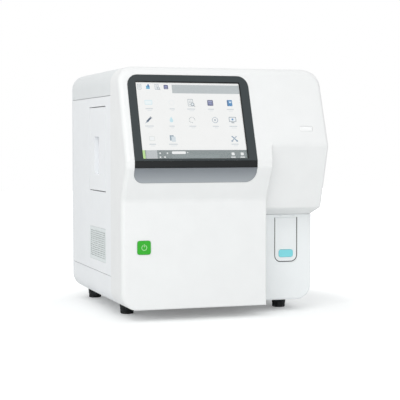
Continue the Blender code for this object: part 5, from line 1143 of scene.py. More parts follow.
@dataclass
class ScreenPicture:
    """The picture on the screen: bars and plain icons, with no words."""

    screen: Display
    size: Spot = (0.221, 0.1645)
    overlap: float = 0.004
    face: float = -0.00627
    layer: float = 0.00001
    ground: str = "#f6f7f6"
    tool_size: float = 0.0115
    icon_size: float = 0.0155
    members: list[Piece] = field(default_factory=list)

    def spot(self, across: float, down: float) -> Spot:
        """Returns the place of two shares of the screen's width and height."""
        screen = self.screen
        low, high = SHAPE.up_face(screen.screen_low), SHAPE.up_face(screen.screen_high)
        width = screen.screen_right - screen.screen_left
        return (screen.screen_left + across * width, high - down * (high - low))

    def keep(self, shape: Piece, colour: str, level: int) -> None:
        """Lays a flat shape on the panel in its colour."""
        take_up(shape)
        bpy.ops.object.mode_set(mode="EDIT")
        bpy.ops.mesh.select_all(action="SELECT")
        bpy.ops.transform.translate(value=(0, 0, self.face + level * self.layer))
        bpy.ops.mesh.normals_make_consistent(inside=False)
        leave_edit()
        if shape.data.polygons[0].normal.z < 0:
            shape.data.flip_normals()
        paint = shape.data.color_attributes.new("paint", "FLOAT_COLOR", "CORNER")
        for entry in paint.data:
            entry.color = linear(colour)
        self.members.append(place(shape, View.FACE))

    def box(
        self, centre: Spot, size: Spot, colour: str, level: int, radius: float = 0.0,
        tilt: float = 0.0,
    ) -> None:
        """Draws a bar, a tile or a sheet.

        Args:
            centre: its middle on the leaning face.
            size: its width and height.
            colour: its painted colour.
            level: how many layers it lies above the ground.
            radius: the radius of its corners.
            tilt: how far it is turned, in degrees.
        """
        sine, cosine = math.sin(math.radians(tilt)), math.cos(math.radians(tilt))
        corners = [
            (centre[0] + x * cosine - y * sine, centre[1] + x * sine + y * cosine)
            for x, y in frame_of((0.0, 0.0), *size)
        ]
        self.keep(trace("bar", corners, radius, 3), colour, level)

    def disc(self, centre: Spot, radius: float, colour: str, level: int) -> None:
        """Draws a filled circle."""
        clear_selection()
        bpy.ops.mesh.primitive_circle_add(
            vertices=28, radius=radius, fill_type="NGON", location=(*centre, 0)
        )
        self.keep(settle(bpy.context.object), colour, level)

    def ring(
        self, centre: Spot, radius: float, line: float, colour: str, ground: str, level: int
    ) -> None:
        """Draws a circle line as a disc with its ground laid on it."""
        self.disc(centre, radius, colour, level)
        self.disc(centre, radius - line, ground, level + 1)

    def icon(self, centre: Spot, size: float, marks: Sequence[Patch | Dot]) -> None:
        """Draws the patches and dots of an icon about its middle."""
        for mark in marks:
            spot = (centre[0] + size * mark.at[0], centre[1] + size * mark.at[1])
            if isinstance(mark, Dot):
                self.disc(spot, size * mark.radius, mark.colour, mark.level)
            else:
                area = (size * mark.size[0], size * mark.size[1])
                self.box(spot, area, mark.colour, mark.level, mark.radius, mark.tilt)

    def sheet_icon(self, centre: Spot, size: float, colour: str, lens: bool) -> None:
        """Draws a sheet with lines, with a magnifier where lens is set."""
        self.icon(centre, size, (
            Patch(colour, (0.72, 1.0), radius=size * 0.08),
            Patch("#f4f6f6", (0.6, 0.88), level=3, radius=size * 0.05),
            *(Patch(colour, (0.42, 0.06), (0.0, row), 4) for row in (-0.22, 0.0, 0.22)),
        ))
        if lens:
            eye = (centre[0] + size * 0.26, centre[1] - size * 0.22)
            self.ring(eye, size * 0.24, size * 0.07, "#6f7f8b", "#e6edf1", 5)
            self.icon(centre, size, [Patch("#6f7f8b", (0.28, 0.09), (0.48, -0.46), 7, tilt=-45)])

    def draw_bars(self) -> None:
        """Draws the ground, the top bar and the status bar."""
        width, height = self.size
        whole = width + self.overlap
        self.box(self.spot(0.5, 0.5), (whole, height + self.overlap), self.ground, 0)
        self.box(self.spot(0.5, 0.938), (whole, height * 0.126), "#828c8d", 1)
        for colour, centre, share, level, radius in BARS:
            area = (width * share[0], height * share[1])
            self.box(self.spot(*centre), area, colour, level, radius)

    def draw_captions(self) -> None:
        """Draws two bars under each icon of the grid, in place of its name."""
        for across, down, share in CAPTIONS:
            length = self.icon_size * share
            self.box(self.spot(across, down), (length, 0.0018), "#ccd3d8", 2, 0.0008)
            second = self.spot(across + 0.004, down + 0.022)
            self.box(second, (length * 0.6, 0.0013), "#dfe4e7", 2, 0.0005)

    def draw_icons(self) -> None:
        """Draws the icons of the top bar and of the grid."""
        tool, size = self.tool_size, self.icon_size
        self.sheet_icon(self.spot(0.042, 0.06), tool, "#93a3ae", False)
        self.sheet_icon(self.spot(0.206, 0.06), tool, "#8798a6", True)
        self.sheet_icon(self.spot(0.51, 0.262), size, "#9aa7ae", True)
        self.ring(self.spot(0.33, 0.262), size * 0.38, 0.0007, "#e8edef", self.ground, 2)
        self.ring(self.spot(0.727, 0.487), size * 0.42, 0.0014, "#b4bfc9", self.ground, 2)
        x, y = self.spot(0.311, 0.487)
        tip = [(x - size * 0.22, y), (x + size * 0.22, y), (x, y + size * 0.46)]
        self.keep(trace("tip", tip), "#c5e7f1", 2)
        for scale, icons in ((tool, TOOL_ICONS), (size, GRID_ICONS)):
            for centre, marks in icons:
                self.icon(self.spot(*centre), scale, marks)

    def build(self) -> None:
        """Draws the whole picture and joins it into one lit sheet."""
        self.draw_bars()
        self.draw_captions()
        self.draw_icons()
        hand_over(group("screen_picture", *self.members), PICTURE, smooth=False)


@dataclass
class PowerKey:
    """The square green power key with its mark."""

    centre: Spot = (-0.1725, 0.149)
    size: float = 0.0275
    corner: float = 0.0045
    proud: float = 0.0018
    cap: float = 0.007
    stem: float = 0.004
    stem_end: float = -0.196
    clearance: float = 0.0004
    edge: float = 0.0011
    mark_radius: float = 0.0058
    mark_line: float = 0.0013
    mark_bar: Spot = (0.0012, 0.0072)
    mark_skin: Spot = (0.00005, 0.00012)
    hole_y: Spot = (-0.225, -0.19)

    def hole(self) -> Piece:
        """The key's opening in the front cover."""
        side = self.size + 2 * self.clearance
        return solid("key_hole", View.FRONT, frame_of(self.centre, side, side), *self.hole_y,
                     self.corner + self.clearance, 6)

    def build(self) -> None:
        """Builds the key and its mark."""
        front = SHAPE.face_y - self.proud
        key = solid("power_key", View.FRONT, frame_of(self.centre, self.size, self.size), front,
                    front + self.cap, self.corner, 6)
        soften(key, self.edge, 4)
        start, end = front + self.cap / 2, self.stem_end
        stem = turned("stem", View.FRONT, self.centre, [
            (0.0, start), (self.stem, start), (self.stem, end), (0.0, end),
        ], 24)
        weld(key, stem)
        hand_over(key, GREEN, "power_button", ("power_button",))
        face, lift = front + self.mark_skin[0], front - self.mark_skin[1]
        radius, line = self.mark_radius, self.mark_line
        profile = ring_of(radius - line, radius, face, lift)
        ring = turned("power_mark", View.FRONT, self.centre, profile, 40)
        (x, z), (low, high) = self.centre, self.mark_bar
        gap = line * 1.6
        cut(ring, slab("gap", (x - gap, front - PAST, z), (x + gap, front + PAST, z + 2 * PAST)))
        bar = slab("bar", (x - line / 2, lift, z + low), (x + line / 2, face, z + high))
        hand_over(group("power_mark", ring, bar), GREEN_MARK, "power_button")


@dataclass
class StatusLamp:
    """The small pill-shaped lens of the status lamp."""

    centre_x: float = 0.171
    height: float = 0.386
    width: float = 0.028
    depth: float = 0.0106
    thickness: float = 0.005
    corner: float = 0.0036
    edge: float = 0.0009

    def pill(self, name: str, grow: float, low: float, high: float) -> Piece:
        """The lens's outline between two depths."""
        centre = (self.centre_x, SHAPE.up_face(self.height))
        outline = frame_of(centre, self.width + 2 * grow, self.depth + 2 * grow)
        return solid(name, View.FACE, outline, low, high, self.corner + grow, 8)

    def hole(self) -> Piece:
        """The lens's opening in the front cover."""
        return self.pill("lamp_hole", SHAPE.gap, -2 * PAST, 2 * PAST)

    def build(self) -> None:
        """Builds the lens with its rounded edge."""
        lens = self.pill("lamp_lens", 0.0, -self.thickness, 0.0)
        soften(lens, self.edge, 4)
        hand_over(lens, LENS, stands_for=("indicator_lens",))


@dataclass
class SamplingStation:
    """The recessed panel with its lip, the tube drawer and the start key on it."""

    right_fillet: float = 0.005
    lip_height: float = 0.0062
    lip_proud: float = 0.0015
    lip_edge: float = 0.0006
    notch_x: Spot = (0.1448, 0.1747)
    notch_size: Spot = (0.0055, 0.0030)
    drawer_x: float = 0.15875
    drawer_width: float = 0.0485
    drawer_low: float = 0.1062
    drawer_top: float = 0.1973
    drawer_corner: float = 0.0125
    drawer_gap: float = 0.0019
    top_gap: float = 0.0002
    front_thickness: float = 0.004
    front_edge: float = 0.0008
    key_centre: Spot = (0.15875, 0.1228)
    key_size: Spot = (0.0323, 0.0162)
    key_corner: float = 0.0055
    key_proud: float = 0.0012
    key_depth: float = 0.0045
    key_edge: float = 0.0009
    key_clearance: float = 0.0004
    key_travel: float = 0.0013
    well_wall: float = 0.002
    tray_width: float = 0.039
    tray_wall: float = 0.002
    tray_floor: float = 0.1105
    floor_thickness: float = 0.003
    tray_height: float = 0.010
    tray_rear: float = -0.0345
    runner_z: Spot = (0.1165, 0.118)
    runner_width: float = 0.003
    seal_gap: float = 0.0003
    seal_lap: Spot = (0.0004, 0.0006)
    seal_setback: Spot = (0.0013, 0.0006)
    tube_y: float = -0.1042
    cup_low: float = 0.1138
    cup_height: float = 0.046
    cup_radius: float = 0.012
    cup_bore: float = 0.0068
    cup_floor: float = 0.004
    cup_waist: float = 0.0008
    cup_mouth: float = 0.0014
    grip_profile: tuple[Spot, ...] = (
        (-0.0006, -0.0090), (0.0002, -0.0096), (0.0002, -0.0060), (-0.0006, -0.0066),
        (-0.0006, -0.0090),
    )

    def drawer_outline(
        self, name: str, grow: float, rise: float, front: float, rear: float
    ) -> Piece:
        """The drawer's front, square above and round below, grown at its sides and its top."""
        half, x = self.drawer_width / 2 + grow, self.drawer_x
        corners = span(x - half, x + half, self.drawer_low - grow, self.drawer_top + rise)
        radius = self.drawer_corner + grow
        return solid(name, View.FRONT, corners, front, rear, [radius, radius, 0.0, 0.0], 10)

    def build_panel(self) -> None:
        """Builds the recessed panel with its lip and notches."""
        s = SHAPE
        left, right, low, top = s.niche_x + s.gap, s.half_width, s.floor_z, s.niche_top_z - s.gap
        rear, wall = s.seam_y - s.gap, s.wall
        radii = [0.0, s.corner, 0.0, 0.0]
        panel = solid("recess_panel", View.FRONT, span(left, right, low, top), s.niche_y, rear,
                      radii, 14)

        def outer_front(edge: Any) -> bool:
            """Says whether an edge is on the panel's outer front rim."""
            here = middle(edge)
            rim = abs(here.y - s.niche_y) < NEAR
            return rim and here.x > left + NEAR and here.z < top - NEAR and sharp(edge)

        round_edges(panel, self.right_fillet, 6, outer_front)
        inner = span(left + wall, right - wall, low + wall, top - wall)
        cut(panel, solid("room", View.FRONT, inner, s.niche_y + wall, s.seam_y + PAST,
                         [0.0, s.corner - wall, 0.0, 0.0], 10))
        lip = slab("lip", (left, s.niche_y - self.lip_proud, top - self.lip_height),
                   (right - self.right_fillet, s.niche_y + self.lip_proud, s.niche_top_z - NEAR))
        weld(panel, soften(lip, self.lip_edge, 3))
        width, height = self.notch_size
        for x in self.notch_x:
            cut(panel, slab("notch", (x - width / 2, s.niche_y - PAST, top - height),
                            (x + width / 2, s.niche_y + self.lip_proud / 2, top + PAST)))
        gap = self.drawer_gap
        behind = s.niche_y + wall + PAST / 2
        cut(panel, self.drawer_outline("mouth", gap, gap, s.niche_y - PAST, behind))
        hand_over(panel, RECESS_COVER_PAINTED_LIGHT, stands_for=("sampling_panel",))

    def key_outline(self, name: str, grow: float, front: float, rear: float) -> Piece:
        """The start key's outline between two depths."""
        width, height = self.key_size
        corners = frame_of(self.key_centre, width + 2 * grow, height + 2 * grow)
        return solid(name, View.FRONT, corners, front, rear, self.key_corner + grow, 8)

    def tray(self, rear: float) -> Piece:
        """The channel that carries the tube, with a runner on each side, behind the front."""
        half, wall, x = self.tray_width / 2, self.tray_wall, self.drawer_x
        low, floor = self.tray_floor, self.tray_floor + self.floor_thickness
        rim = floor + self.tray_height
        tray = solid("tray", View.FRONT, [
            (x - half, low), (x + half, low), (x + half, rim), (x + half - wall, rim),
            (x + half - wall, floor), (x - half + wall, floor), (x - half + wall, rim),
            (x - half, rim),
        ], rear - self.well_wall, self.tray_rear)
        for side in (-1, 1):
            inner, outer = x + side * (half - wall / 2), x + side * (half + self.runner_width)
            weld(tray, slab("runner", (min(inner, outer), rear + wall, self.runner_z[0]),
                            (max(inner, outer), self.tray_rear, self.runner_z[1])))
        return tray

    def build_drawer(self) -> None:
        """Builds the drawer's front with its key well, the tray behind it and its seal."""
        s = SHAPE
        rear = s.niche_y + self.front_thickness
        rise = self.drawer_gap - self.top_gap
        front = self.drawer_outline("drawer_front", 0.0, rise, s.niche_y, rear)
        round_edges(front, self.front_edge, 3,
                    lambda edge: abs(middle(edge).y - s.niche_y) < NEAR and sharp(edge))
        well_floor = s.niche_y - self.key_proud + self.key_depth + self.key_travel
        wall, clearance = self.well_wall, self.key_clearance
        weld(front, self.key_outline("boss", wall + clearance, rear - wall, well_floor + wall))
        cut(front, self.key_outline("well", clearance, s.niche_y - PAST, well_floor))
        weld(front, self.tray(rear))
        hand_over(front, RECESS_COVER_PAINTED_LIGHT, "tube_drawer", ("tube_drawer",))
        outer = self.drawer_gap - self.seal_gap
        side, top = self.seal_lap
        ahead, behind = self.seal_setback
        seal = self.drawer_outline("drawer_seal", outer, rise, s.niche_y + ahead, rear - behind)
        cut(seal, self.drawer_outline("middle", -side, rise - top, s.niche_y - PAST, rear + PAST))
        hand_over(seal, BLACK_SEAL_AND_PAINTED_SHADE, "tube_drawer")

    def build_holder(self) -> None:
        """Builds the tube's cup with its two bands and the soft ring that grips the tube."""
        low = self.cup_low
        top, floor = low + self.cup_height, low + self.cup_floor
        r, bore, mouth, edge = self.cup_radius, self.cup_bore, self.cup_mouth, self.cup_waist
        waist = r - edge
        centre = (self.drawer_x, self.tube_y)
        cup = turned("tube_cup", View.TOP, centre, [
            (0.0, low), (waist, low), (r, low + edge), (r, low + 0.006), (waist, low + 0.0068),
            (waist, top - 0.0078), (r, top - 0.0070), (r, top - edge), (waist, top),
            (bore + mouth, top), (bore, top - mouth), (bore, floor), (0.0, floor),
        ])
        hand_over(cup, GREY, "tube_drawer", ("tube_holder",))
        profile = [(bore + out, top + up) for out, up in self.grip_profile]
        hand_over(turned("tube_grip", View.TOP, centre, profile, 40), RUBBER, "tube_drawer")

    def build(self) -> None:
        """Builds the panel, the drawer, its cup and the key."""
        self.build_panel()
        self.build_drawer()
        self.build_holder()
        front = SHAPE.niche_y - self.key_proud
        key = self.key_outline("start_key", 0.0, front, front + self.key_depth)
        soften(key, self.key_edge, 4)
        hand_over(key, CYAN, "start_button", ("start_button",))


@dataclass
class Casing:
    """The sheet covers round the middle of the body, and the moulded rear."""

    tray_top: float = 0.084
    top_seam: float = 0.4533
    seam: float = 0.0008
    door_corner: float = 0.0036
    filter_corner: float = 0.0018
    cutter_x: Spot = (-0.23, -0.20)
    door_y: Spot = (-0.0775, 0.0628)
    door_z: Spot = (0.256, 0.4315)
    filter_z: Spot = (0.1076, 0.177)
    door_gap: float = 0.0016
    rear_fillet: float = 0.008
    vent_reach: float = 0.034
    vent_slot: float = 0.0035
    vent_pitch: float = 0.0075
    vent_corner: float = 0.0015
    edge: float = 0.0004

    def band(self, name: str, low: float, high: float) -> Piece:
        """A bent sheet: the part of the body's skin between two heights."""
        s = SHAPE
        half, front, rear = s.half_width, s.seam_y + s.gap, s.rear_seam_y - s.gap
        outer = span(-half, half, s.floor_z, s.top_z)
        skin = solid(name, View.FRONT, outer, front, rear, s.corner, 14)
        inner = span(-half + s.sheet, half - s.sheet, s.floor_z + s.sheet, s.top_z - s.sheet)
        radius = s.corner - s.sheet
        cut(skin, solid("inside", View.FRONT, inner, front - PAST, rear + PAST, radius, 14))
        heights = slab("heights", (-half - PAST, front - 2 * PAST, low),
                       (half + PAST, rear + 2 * PAST, high))
        return soften(combine(skin, "INTERSECT", heights), self.edge)

    def side(self, name: str, outer: float, inner: float) -> Piece:
        """One flat side sheet."""
        s = SHAPE
        outline = span(s.seam_y + s.gap, s.rear_seam_y - s.gap, self.tray_top + self.seam,
                       self.top_seam - self.seam)
        return solid(name, View.SIDE, outline, min(outer, inner), max(outer, inner))

    def build_sides(self) -> None:
        """Builds the side sheets, the tray and the top."""
        s = SHAPE
        half = s.half_width
        left = self.side("left_sheet", -half, -half + s.sheet)
        near, far = self.door_y
        for (low, high), grow, radius in (
            (self.door_z, self.door_gap, self.door_corner),
            (self.filter_z, s.gap, self.filter_corner),
        ):
            corners = span(near - grow, far + grow, low - grow, high + grow)
            cut(left, solid("opening", View.SIDE, corners, *self.cutter_x, radius, 5))
        right = self.side("right_sheet", half, half - s.sheet)
        for sheet, node in ((left, "left_side_panel"), (right, "right_side_panel")):
            hand_over(soften(sheet, self.edge), PAINTED_SHEET, stands_for=(node,))
        tray = self.band("bottom_tray", s.floor_z - PAST, self.tray_top)
        hand_over(tray, PAINTED_SHEET, stands_for=("base_tray",))
        top = self.band("top_skin", self.top_seam, s.top_z + PAST)
        hand_over(top, TOP_SKIN_PAINTED_SHADE, stands_for=("top_cover",))

    def build_rear(self) -> None:
        """Builds the rear pan with the openings of its fittings and the fan's vent."""
        s, fittings = SHAPE, RearFittings()
        half, wall = s.half_width, s.wall
        pan = solid("rear_pan", View.FRONT, span(-half, half, s.floor_z, s.top_z), s.rear_seam_y,
                    s.rear_y, s.corner, 14)
        round_edges(pan, self.rear_fillet, 6,
                    lambda edge: middle(edge).y > s.rear_y - NEAR and sharp(edge))
        inner = span(-half + wall, half - wall, s.floor_z + wall, s.top_z - wall)
        cut(pan, solid("room", View.FRONT, inner, s.rear_seam_y - PAST, s.rear_y - wall,
                       s.corner - wall, 14))
        holes = [
            (frame_of(centre, width + 2 * s.gap, height + 2 * s.gap), radius + s.gap, 6)
            for centre, (width, height), radius in fittings.openings()
        ]
        rows = int(self.vent_reach / self.vent_pitch)
        x, z = fittings.fan
        for row in range(-rows, rows + 1):
            rise = row * self.vent_pitch
            width = 2 * math.sqrt(self.vent_reach**2 - rise**2)
            holes.append((frame_of((x, z + rise), width, self.vent_slot), self.vent_corner, 4))
        low, high = s.rear_y - PAST, s.rear_y + PAST
        for corners, radius, steps in holes:
            cut(pan, solid("opening", View.FRONT, corners, low, high, radius, steps))
        hand_over(pan, PANEL_COVER, stands_for=("rear_cover",))

    def build(self) -> None:
        """Builds all the covers behind the front."""
        self.build_sides()
        self.build_rear()


@dataclass
class ServiceDoor:
    """The side door with its finger recess, and the air filter's grille below it."""

    sheet: float = 0.0025
    recess_y: Spot = (-0.0222, 0.0198)
    recess_z: Spot = (0.290, 0.370)
    recess_depth: float = 0.013
    corner: float = 0.002
    edge: float = 0.0006
    grille_corner: float = 0.0015
    slot_corner: float = 0.0009
    recess_wall: float = 0.0015
    recess_corner: float = 0.003
    hinge: Spot = (-0.2135, 0.0568)
    knuckle: Spot = (0.0018, 0.003)
    knuckle_length: float = 0.011
    knuckle_end: float = 0.001
    border: float = 0.005
    slot: float = 0.0019
    pitch: float = 0.0044

    def build_door(self, casing: Casing) -> None:
        """Builds the door with a softly edged recess and its knuckles."""
        left, wall = -SHAPE.half_width, self.recess_wall
        (near, far), (low, high) = self.recess_y, self.recess_z
        floor = left + self.recess_depth
        door = solid("door_leaf", View.SIDE, span(*casing.door_y, *casing.door_z), left,
                     left + self.sheet, self.corner, 5)
        pan = span(near - wall, far + wall, low - wall, high + wall)
        weld(door, solid("pan", View.SIDE, pan, left + self.sheet / 2, floor + wall,
                         self.recess_corner + wall, 6))
        cut(door, solid("recess", View.SIDE, span(near, far, low, high), left - PAST, floor,
                        self.recess_corner, 6))
        soften(door, self.edge, 3)
        (pin, outer), length, end = self.knuckle, self.knuckle_length, self.knuckle_end
        for level in (casing.door_z[0] + end, casing.door_z[1] - end - length):
            profile = ring_of(pin, outer, level, level + length)
            door = group("door_leaf", door, turned("knuckle", View.TOP, self.hinge, profile, 28))
        hand_over(door, PAINTED_SHEET, "side_door", ("side_door",))

    def build_grille(self, casing: Casing) -> None:
        """Builds the slotted grille of the air filter."""
        left, (low, high), (near, far) = -SHAPE.half_width, casing.filter_z, casing.door_y
        grille = solid("filter_grille", View.SIDE, span(near, far, low, high), left,
                       left + SHAPE.sheet, self.grille_corner, 4)
        rows = int((high - low - 2 * self.border) / self.pitch)
        first = (low + high - (rows - 1) * self.pitch) / 2
        near, far = near + self.border, far - self.border
        for row in range(rows):
            level, half = first + row * self.pitch, self.slot / 2
            corners = span(near, far, level - half, level + half)
            cut(grille, solid("slot", View.SIDE, corners, left - PAST, left + PAST,
                              self.slot_corner, 3))
        hand_over(grille, GRILLE, stands_for=("air_filter_grille",))

    def build(self, casing: Casing) -> None:
        """Builds the door and the grille."""
        self.build_door(casing)
        self.build_grille(casing)


@dataclass
class Screws:
    """Pan-head screws with a cross recess, modelled once and copied to their places."""

    radius: float = 0.0029
    height: float = 0.0013
    slot: float = 0.0006
    slot_depth: float = 0.0007
    root: float = 0.0002
    over: float = 0.001

    def model(self) -> Piece:
        """Returns one head, standing on the top view's origin."""
        r, h = self.radius, self.height
        head = turned("screw_head", View.TOP, (0.0, 0.0), [
            (0.0, -self.root), (r, -self.root), (r, h * 0.35), (r * 0.86, h * 0.78), (r * 0.5, h),
            (0.0, h),
        ], 28)
        arm, half, low, high = r * 0.62, self.slot / 2, h - self.slot_depth, h + self.over
        cut(head, slab("slot", (-arm, -half, low), (arm, half, high)))
        return cut(head, slab("slot", (-half, -arm, low), (half, arm, high)))

    def spread(
        self, label: str, view: View, places: Sequence[Place], turn: float = 20.0
    ) -> None:
        """Copies the head to each place, turned a little further each time.

        Args:
            label: the start of the copies' names.
            view: the side that the heads face.
            places: where the heads sit.
            turn: the turn from one to the next, in degrees.
        """
        head = self.model()
        for index, spot in enumerate(places):
            twin = copy_of(head, f"{label}_screw_{index + 1}", (0.0, 0.0, 0.0))
            spin = Matrix.Rotation(math.radians(turn * index), 4, "Z")
            twin.matrix_world = Matrix.Translation(spot) @ Matrix(view.value) @ spin
            hand_over(settle(twin), SCREW)
        bpy.data.objects.remove(head, do_unlink=True)


@dataclass
class RearFittings:
    """Inlet, rocker, fluid ports, data ports and the screws of the rear."""

    mouth_y: float = 0.26
    inlet: Spot = (0.150, 0.115)
    flange_size: Spot = (0.030, 0.062)
    flange_y: float = 0.243
    flange_corner: float = 0.003
    flange_edge: float = 0.0006
    body_size: Spot = (0.027, 0.056)
    body_corner: float = 0.0005
    body_y: Spot = (0.213, 0.2420)
    socket_drop: float = 0.0145
    socket_half: Spot = (0.01225, 0.00825)
    socket_chamfer: float = 0.005
    socket_floor: float = 0.226
    socket_corner: float = 0.0015
    blade_places: tuple[Spot, ...] = ((-0.007, -0.002), (0.0, 0.002), (0.007, -0.002))
    blade_y: float = 0.23225
    blade_size: Place = (0.002, 0.0135, 0.004)
    blade_edge: float = 0.0004
    window_size: Spot = (0.0142, 0.0202)
    window_corner: float = 0.0008
    window_floor: float = 0.228
    rocker_pivot: Place = (0.150, 0.2357, 0.1315)
    rocker_tip: float = -8.0
    rocker_half: float = 0.0065
    rocker_edge: float = 0.0005
    rocker_outline: tuple[Spot, ...] = (
        (-0.005, -0.00415), (-0.005, 0.00415), (0.0028, 0.0077), (0.0014, 0.0), (0.0028, -0.0077),
    )
    mark_skin: float = 0.00012
    mark_y: Spot = (0.0012, 0.0035)
    mark_bar: tuple[float, float, float] = (0.0004, 0.0026, 0.0058)
    mark_ring: tuple[float, float, float] = (0.0012, 0.0017, -0.0044)
    ports: Spot = (0.060, 0.240)
    port_side: float = 0.070
    port_corner: float = 0.004
    port_wall: float = 0.002
    port_low: float = 0.225
    port_edge: float = 0.0005
    room_corner: float = 0.003
    port_step: float = 0.015
    barb_profile: tuple[Spot, ...] = (
        (0.0, 0.2268), (0.0050, 0.2268), (0.0050, 0.2310), (0.0030, 0.2312), (0.0030, 0.2325),
        (0.0042, 0.2327), (0.0031, 0.2347), (0.0042, 0.2349), (0.0031, 0.2369), (0.0040, 0.2371),
        (0.0028, 0.2390), (0.0018, 0.2390), (0.0018, 0.2275), (0.0, 0.2275),
    )
    collar_profile: tuple[Spot, ...] = (
        (0.0052, 0.2270), (0.0078, 0.2270), (0.0078, 0.2282), (0.0072, 0.2288), (0.0052, 0.2288),
        (0.0052, 0.2270),
    )
    data: Spot = (-0.105, 0.300)
    data_size: Spot = (0.022, 0.090)
    data_corner: float = 0.0015
    data_low: float = 0.221
    socket_levels: Spot = (0.026, 0.004)
    socket_bottom: float = 0.228
    plate_edge: float = 0.0003
    narrow_socket: Spot = (0.0058, 0.0132)
    narrow_corner: float = 0.0004
    wide_drop: float = 0.024
    wide_socket: Spot = (0.012, 0.015)
    wide_corner: float = 0.0005
    tongue_place: Spot = (-0.0007, 0.2330)
    tongue_size: Place = (0.0018, 0.011, 0.011)
    tongue_edge: float = 0.0002
    contact_place: Spot = (0.0002, 0.23325)
    contact_steps: tuple[float, ...] = (-0.0035, -0.0012, 0.0012, 0.0035)
    contact_size: Place = (0.0004, 0.0085, 0.001)
    pin_count: int = 8
    pin_start: Place = (-0.0036, 0.23225, -0.01875)
    pin_pitch: float = 0.00102
    pin_size: Place = (0.0004, 0.0095, 0.0005)
    fan: Spot = (-0.040, 0.400)
    fan_hole: float = 0.03575
    screw_x: float = 0.200
    screw_levels: tuple[float, ...] = (0.078, 0.200, 0.330, 0.455)
    end_screw_x: float = 0.110
    screw_ends: Spot = (0.0405, 0.4935)
    plate_screw_z: float = 0.0505

    def openings(self) -> list[tuple[Spot, Spot, float]]:
        """Returns the centre, the size and the corner radius of each fitting's opening."""
        return [
            (self.inlet, self.body_size, self.body_corner),
            (self.ports, (self.port_side, self.port_side), self.port_corner),
            (self.data, self.data_size, self.data_corner),
        ]

    def recess(
        self, piece: Piece, outline: Sequence[Spot], floor: float, radius: float, steps: int
    ) -> None:
        """Cuts a recess into a piece from the rear, down to a floor."""
        radii = radius
        cut(piece, solid("recess", View.FRONT, outline, floor, self.mouth_y, radii, steps))

    def build_inlet(self) -> None:
        """Builds the inlet's flange with its socket, and the blades in it."""
        s = SHAPE
        x, z = self.inlet
        flange = solid("inlet_flange", View.FRONT, frame_of((x, z), *self.flange_size),
                       s.rear_y + s.gap, self.flange_y, self.flange_corner, 6)
        soften(flange, self.flange_edge, 3)
        weld(flange, solid("body", View.FRONT, frame_of((x, z), *self.body_size), *self.body_y))
        (half_w, half_h), chamfer = self.socket_half, self.socket_chamfer
        level = z - self.socket_drop
        socket = [
            (x - half_w, level - half_h), (x + half_w, level - half_h),
            (x + half_w, level + half_h - chamfer), (x + half_w - chamfer, level + half_h),
            (x - half_w + chamfer, level + half_h), (x - half_w, level + half_h - chamfer),
        ]
        self.recess(flange, socket, self.socket_floor, self.socket_corner, 4)
        window = frame_of((x, self.rocker_pivot[2]), *self.window_size)
        self.recess(flange, window, self.window_floor, self.window_corner, 3)
        hand_over(flange, BLACK, stands_for=("mains_inlet",))
        blades = [
            about("blade", (x + across, self.blade_y, level + up), self.blade_size)
            for across, up in self.blade_places
        ]
        for blade in blades:
            soften(blade, self.blade_edge)
        hand_over(group("inlet_blades", *blades), STEEL)

    def build_rocker(self) -> None:
        """Builds the rocker with a bar and a ring on it, and tips it to one side."""
        half, edge = self.rocker_half, self.rocker_edge
        rocker = solid("rocker_key", View.SIDE, self.rocker_outline, -half, half)
        soften(rocker, edge, 2, 12)
        (low, high), (width, start, end) = self.mark_y, self.mark_bar
        bar = slab("bar", (-width, low, start), (width, high, end))
        inner, outer, level = self.mark_ring
        ring = turned("ring", View.REAR, (0.0, level), ring_of(inner, outer, low, high), 28)
        raised_skin = [(y + self.mark_skin, z) for y, z in self.rocker_outline]
        skin = solid("skin", View.SIDE, raised_skin, edge - half, half - edge)
        marks = combine(group("rocker_mark", bar, ring), "INTERSECT", skin)
        tip = Matrix.Rotation(math.radians(self.rocker_tip), 4, "X")
        for piece, finish, nodes in (
            (rocker, BLACK, ("rocker_switch",)), (marks, WHITE_NYLON, ()),
        ):
            piece.matrix_world = Matrix.Translation(self.rocker_pivot) @ tip
            hand_over(settle(piece), finish, "rocker_switch", nodes)

    def build_ports(self) -> None:
        """Builds the well with four barbed nipples and their coloured collars."""
        (x, z), side, wall = self.ports, self.port_side, self.port_wall
        well = solid("port_well", View.FRONT, frame_of((x, z), side, side), self.port_low,
                     SHAPE.rear_y, self.port_corner, 6)
        room = frame_of((x, z), side - 2 * wall, side - 2 * wall)
        self.recess(well, room, self.port_low + wall, self.room_corner, 6)
        soften(well, self.port_edge)
        hand_over(well, GREY, stands_for=("port_block",))
        step = self.port_step
        spots = [(x + a * step, z + b * step) for b in (1, -1) for a in (-1, 1)]
        nipples = [turned("nipple", View.REAR, spot, self.barb_profile, 32) for spot in spots]
        hand_over(group("hose_nipples", *nipples), WHITE_NYLON, stands_for=("port_block",))
        for index, (spot, finish) in enumerate(zip(spots, PORT_COLOURS)):
            name = f"port_collar_{index + 1}"
            hand_over(turned(name, View.REAR, spot, self.collar_profile, 40), finish)

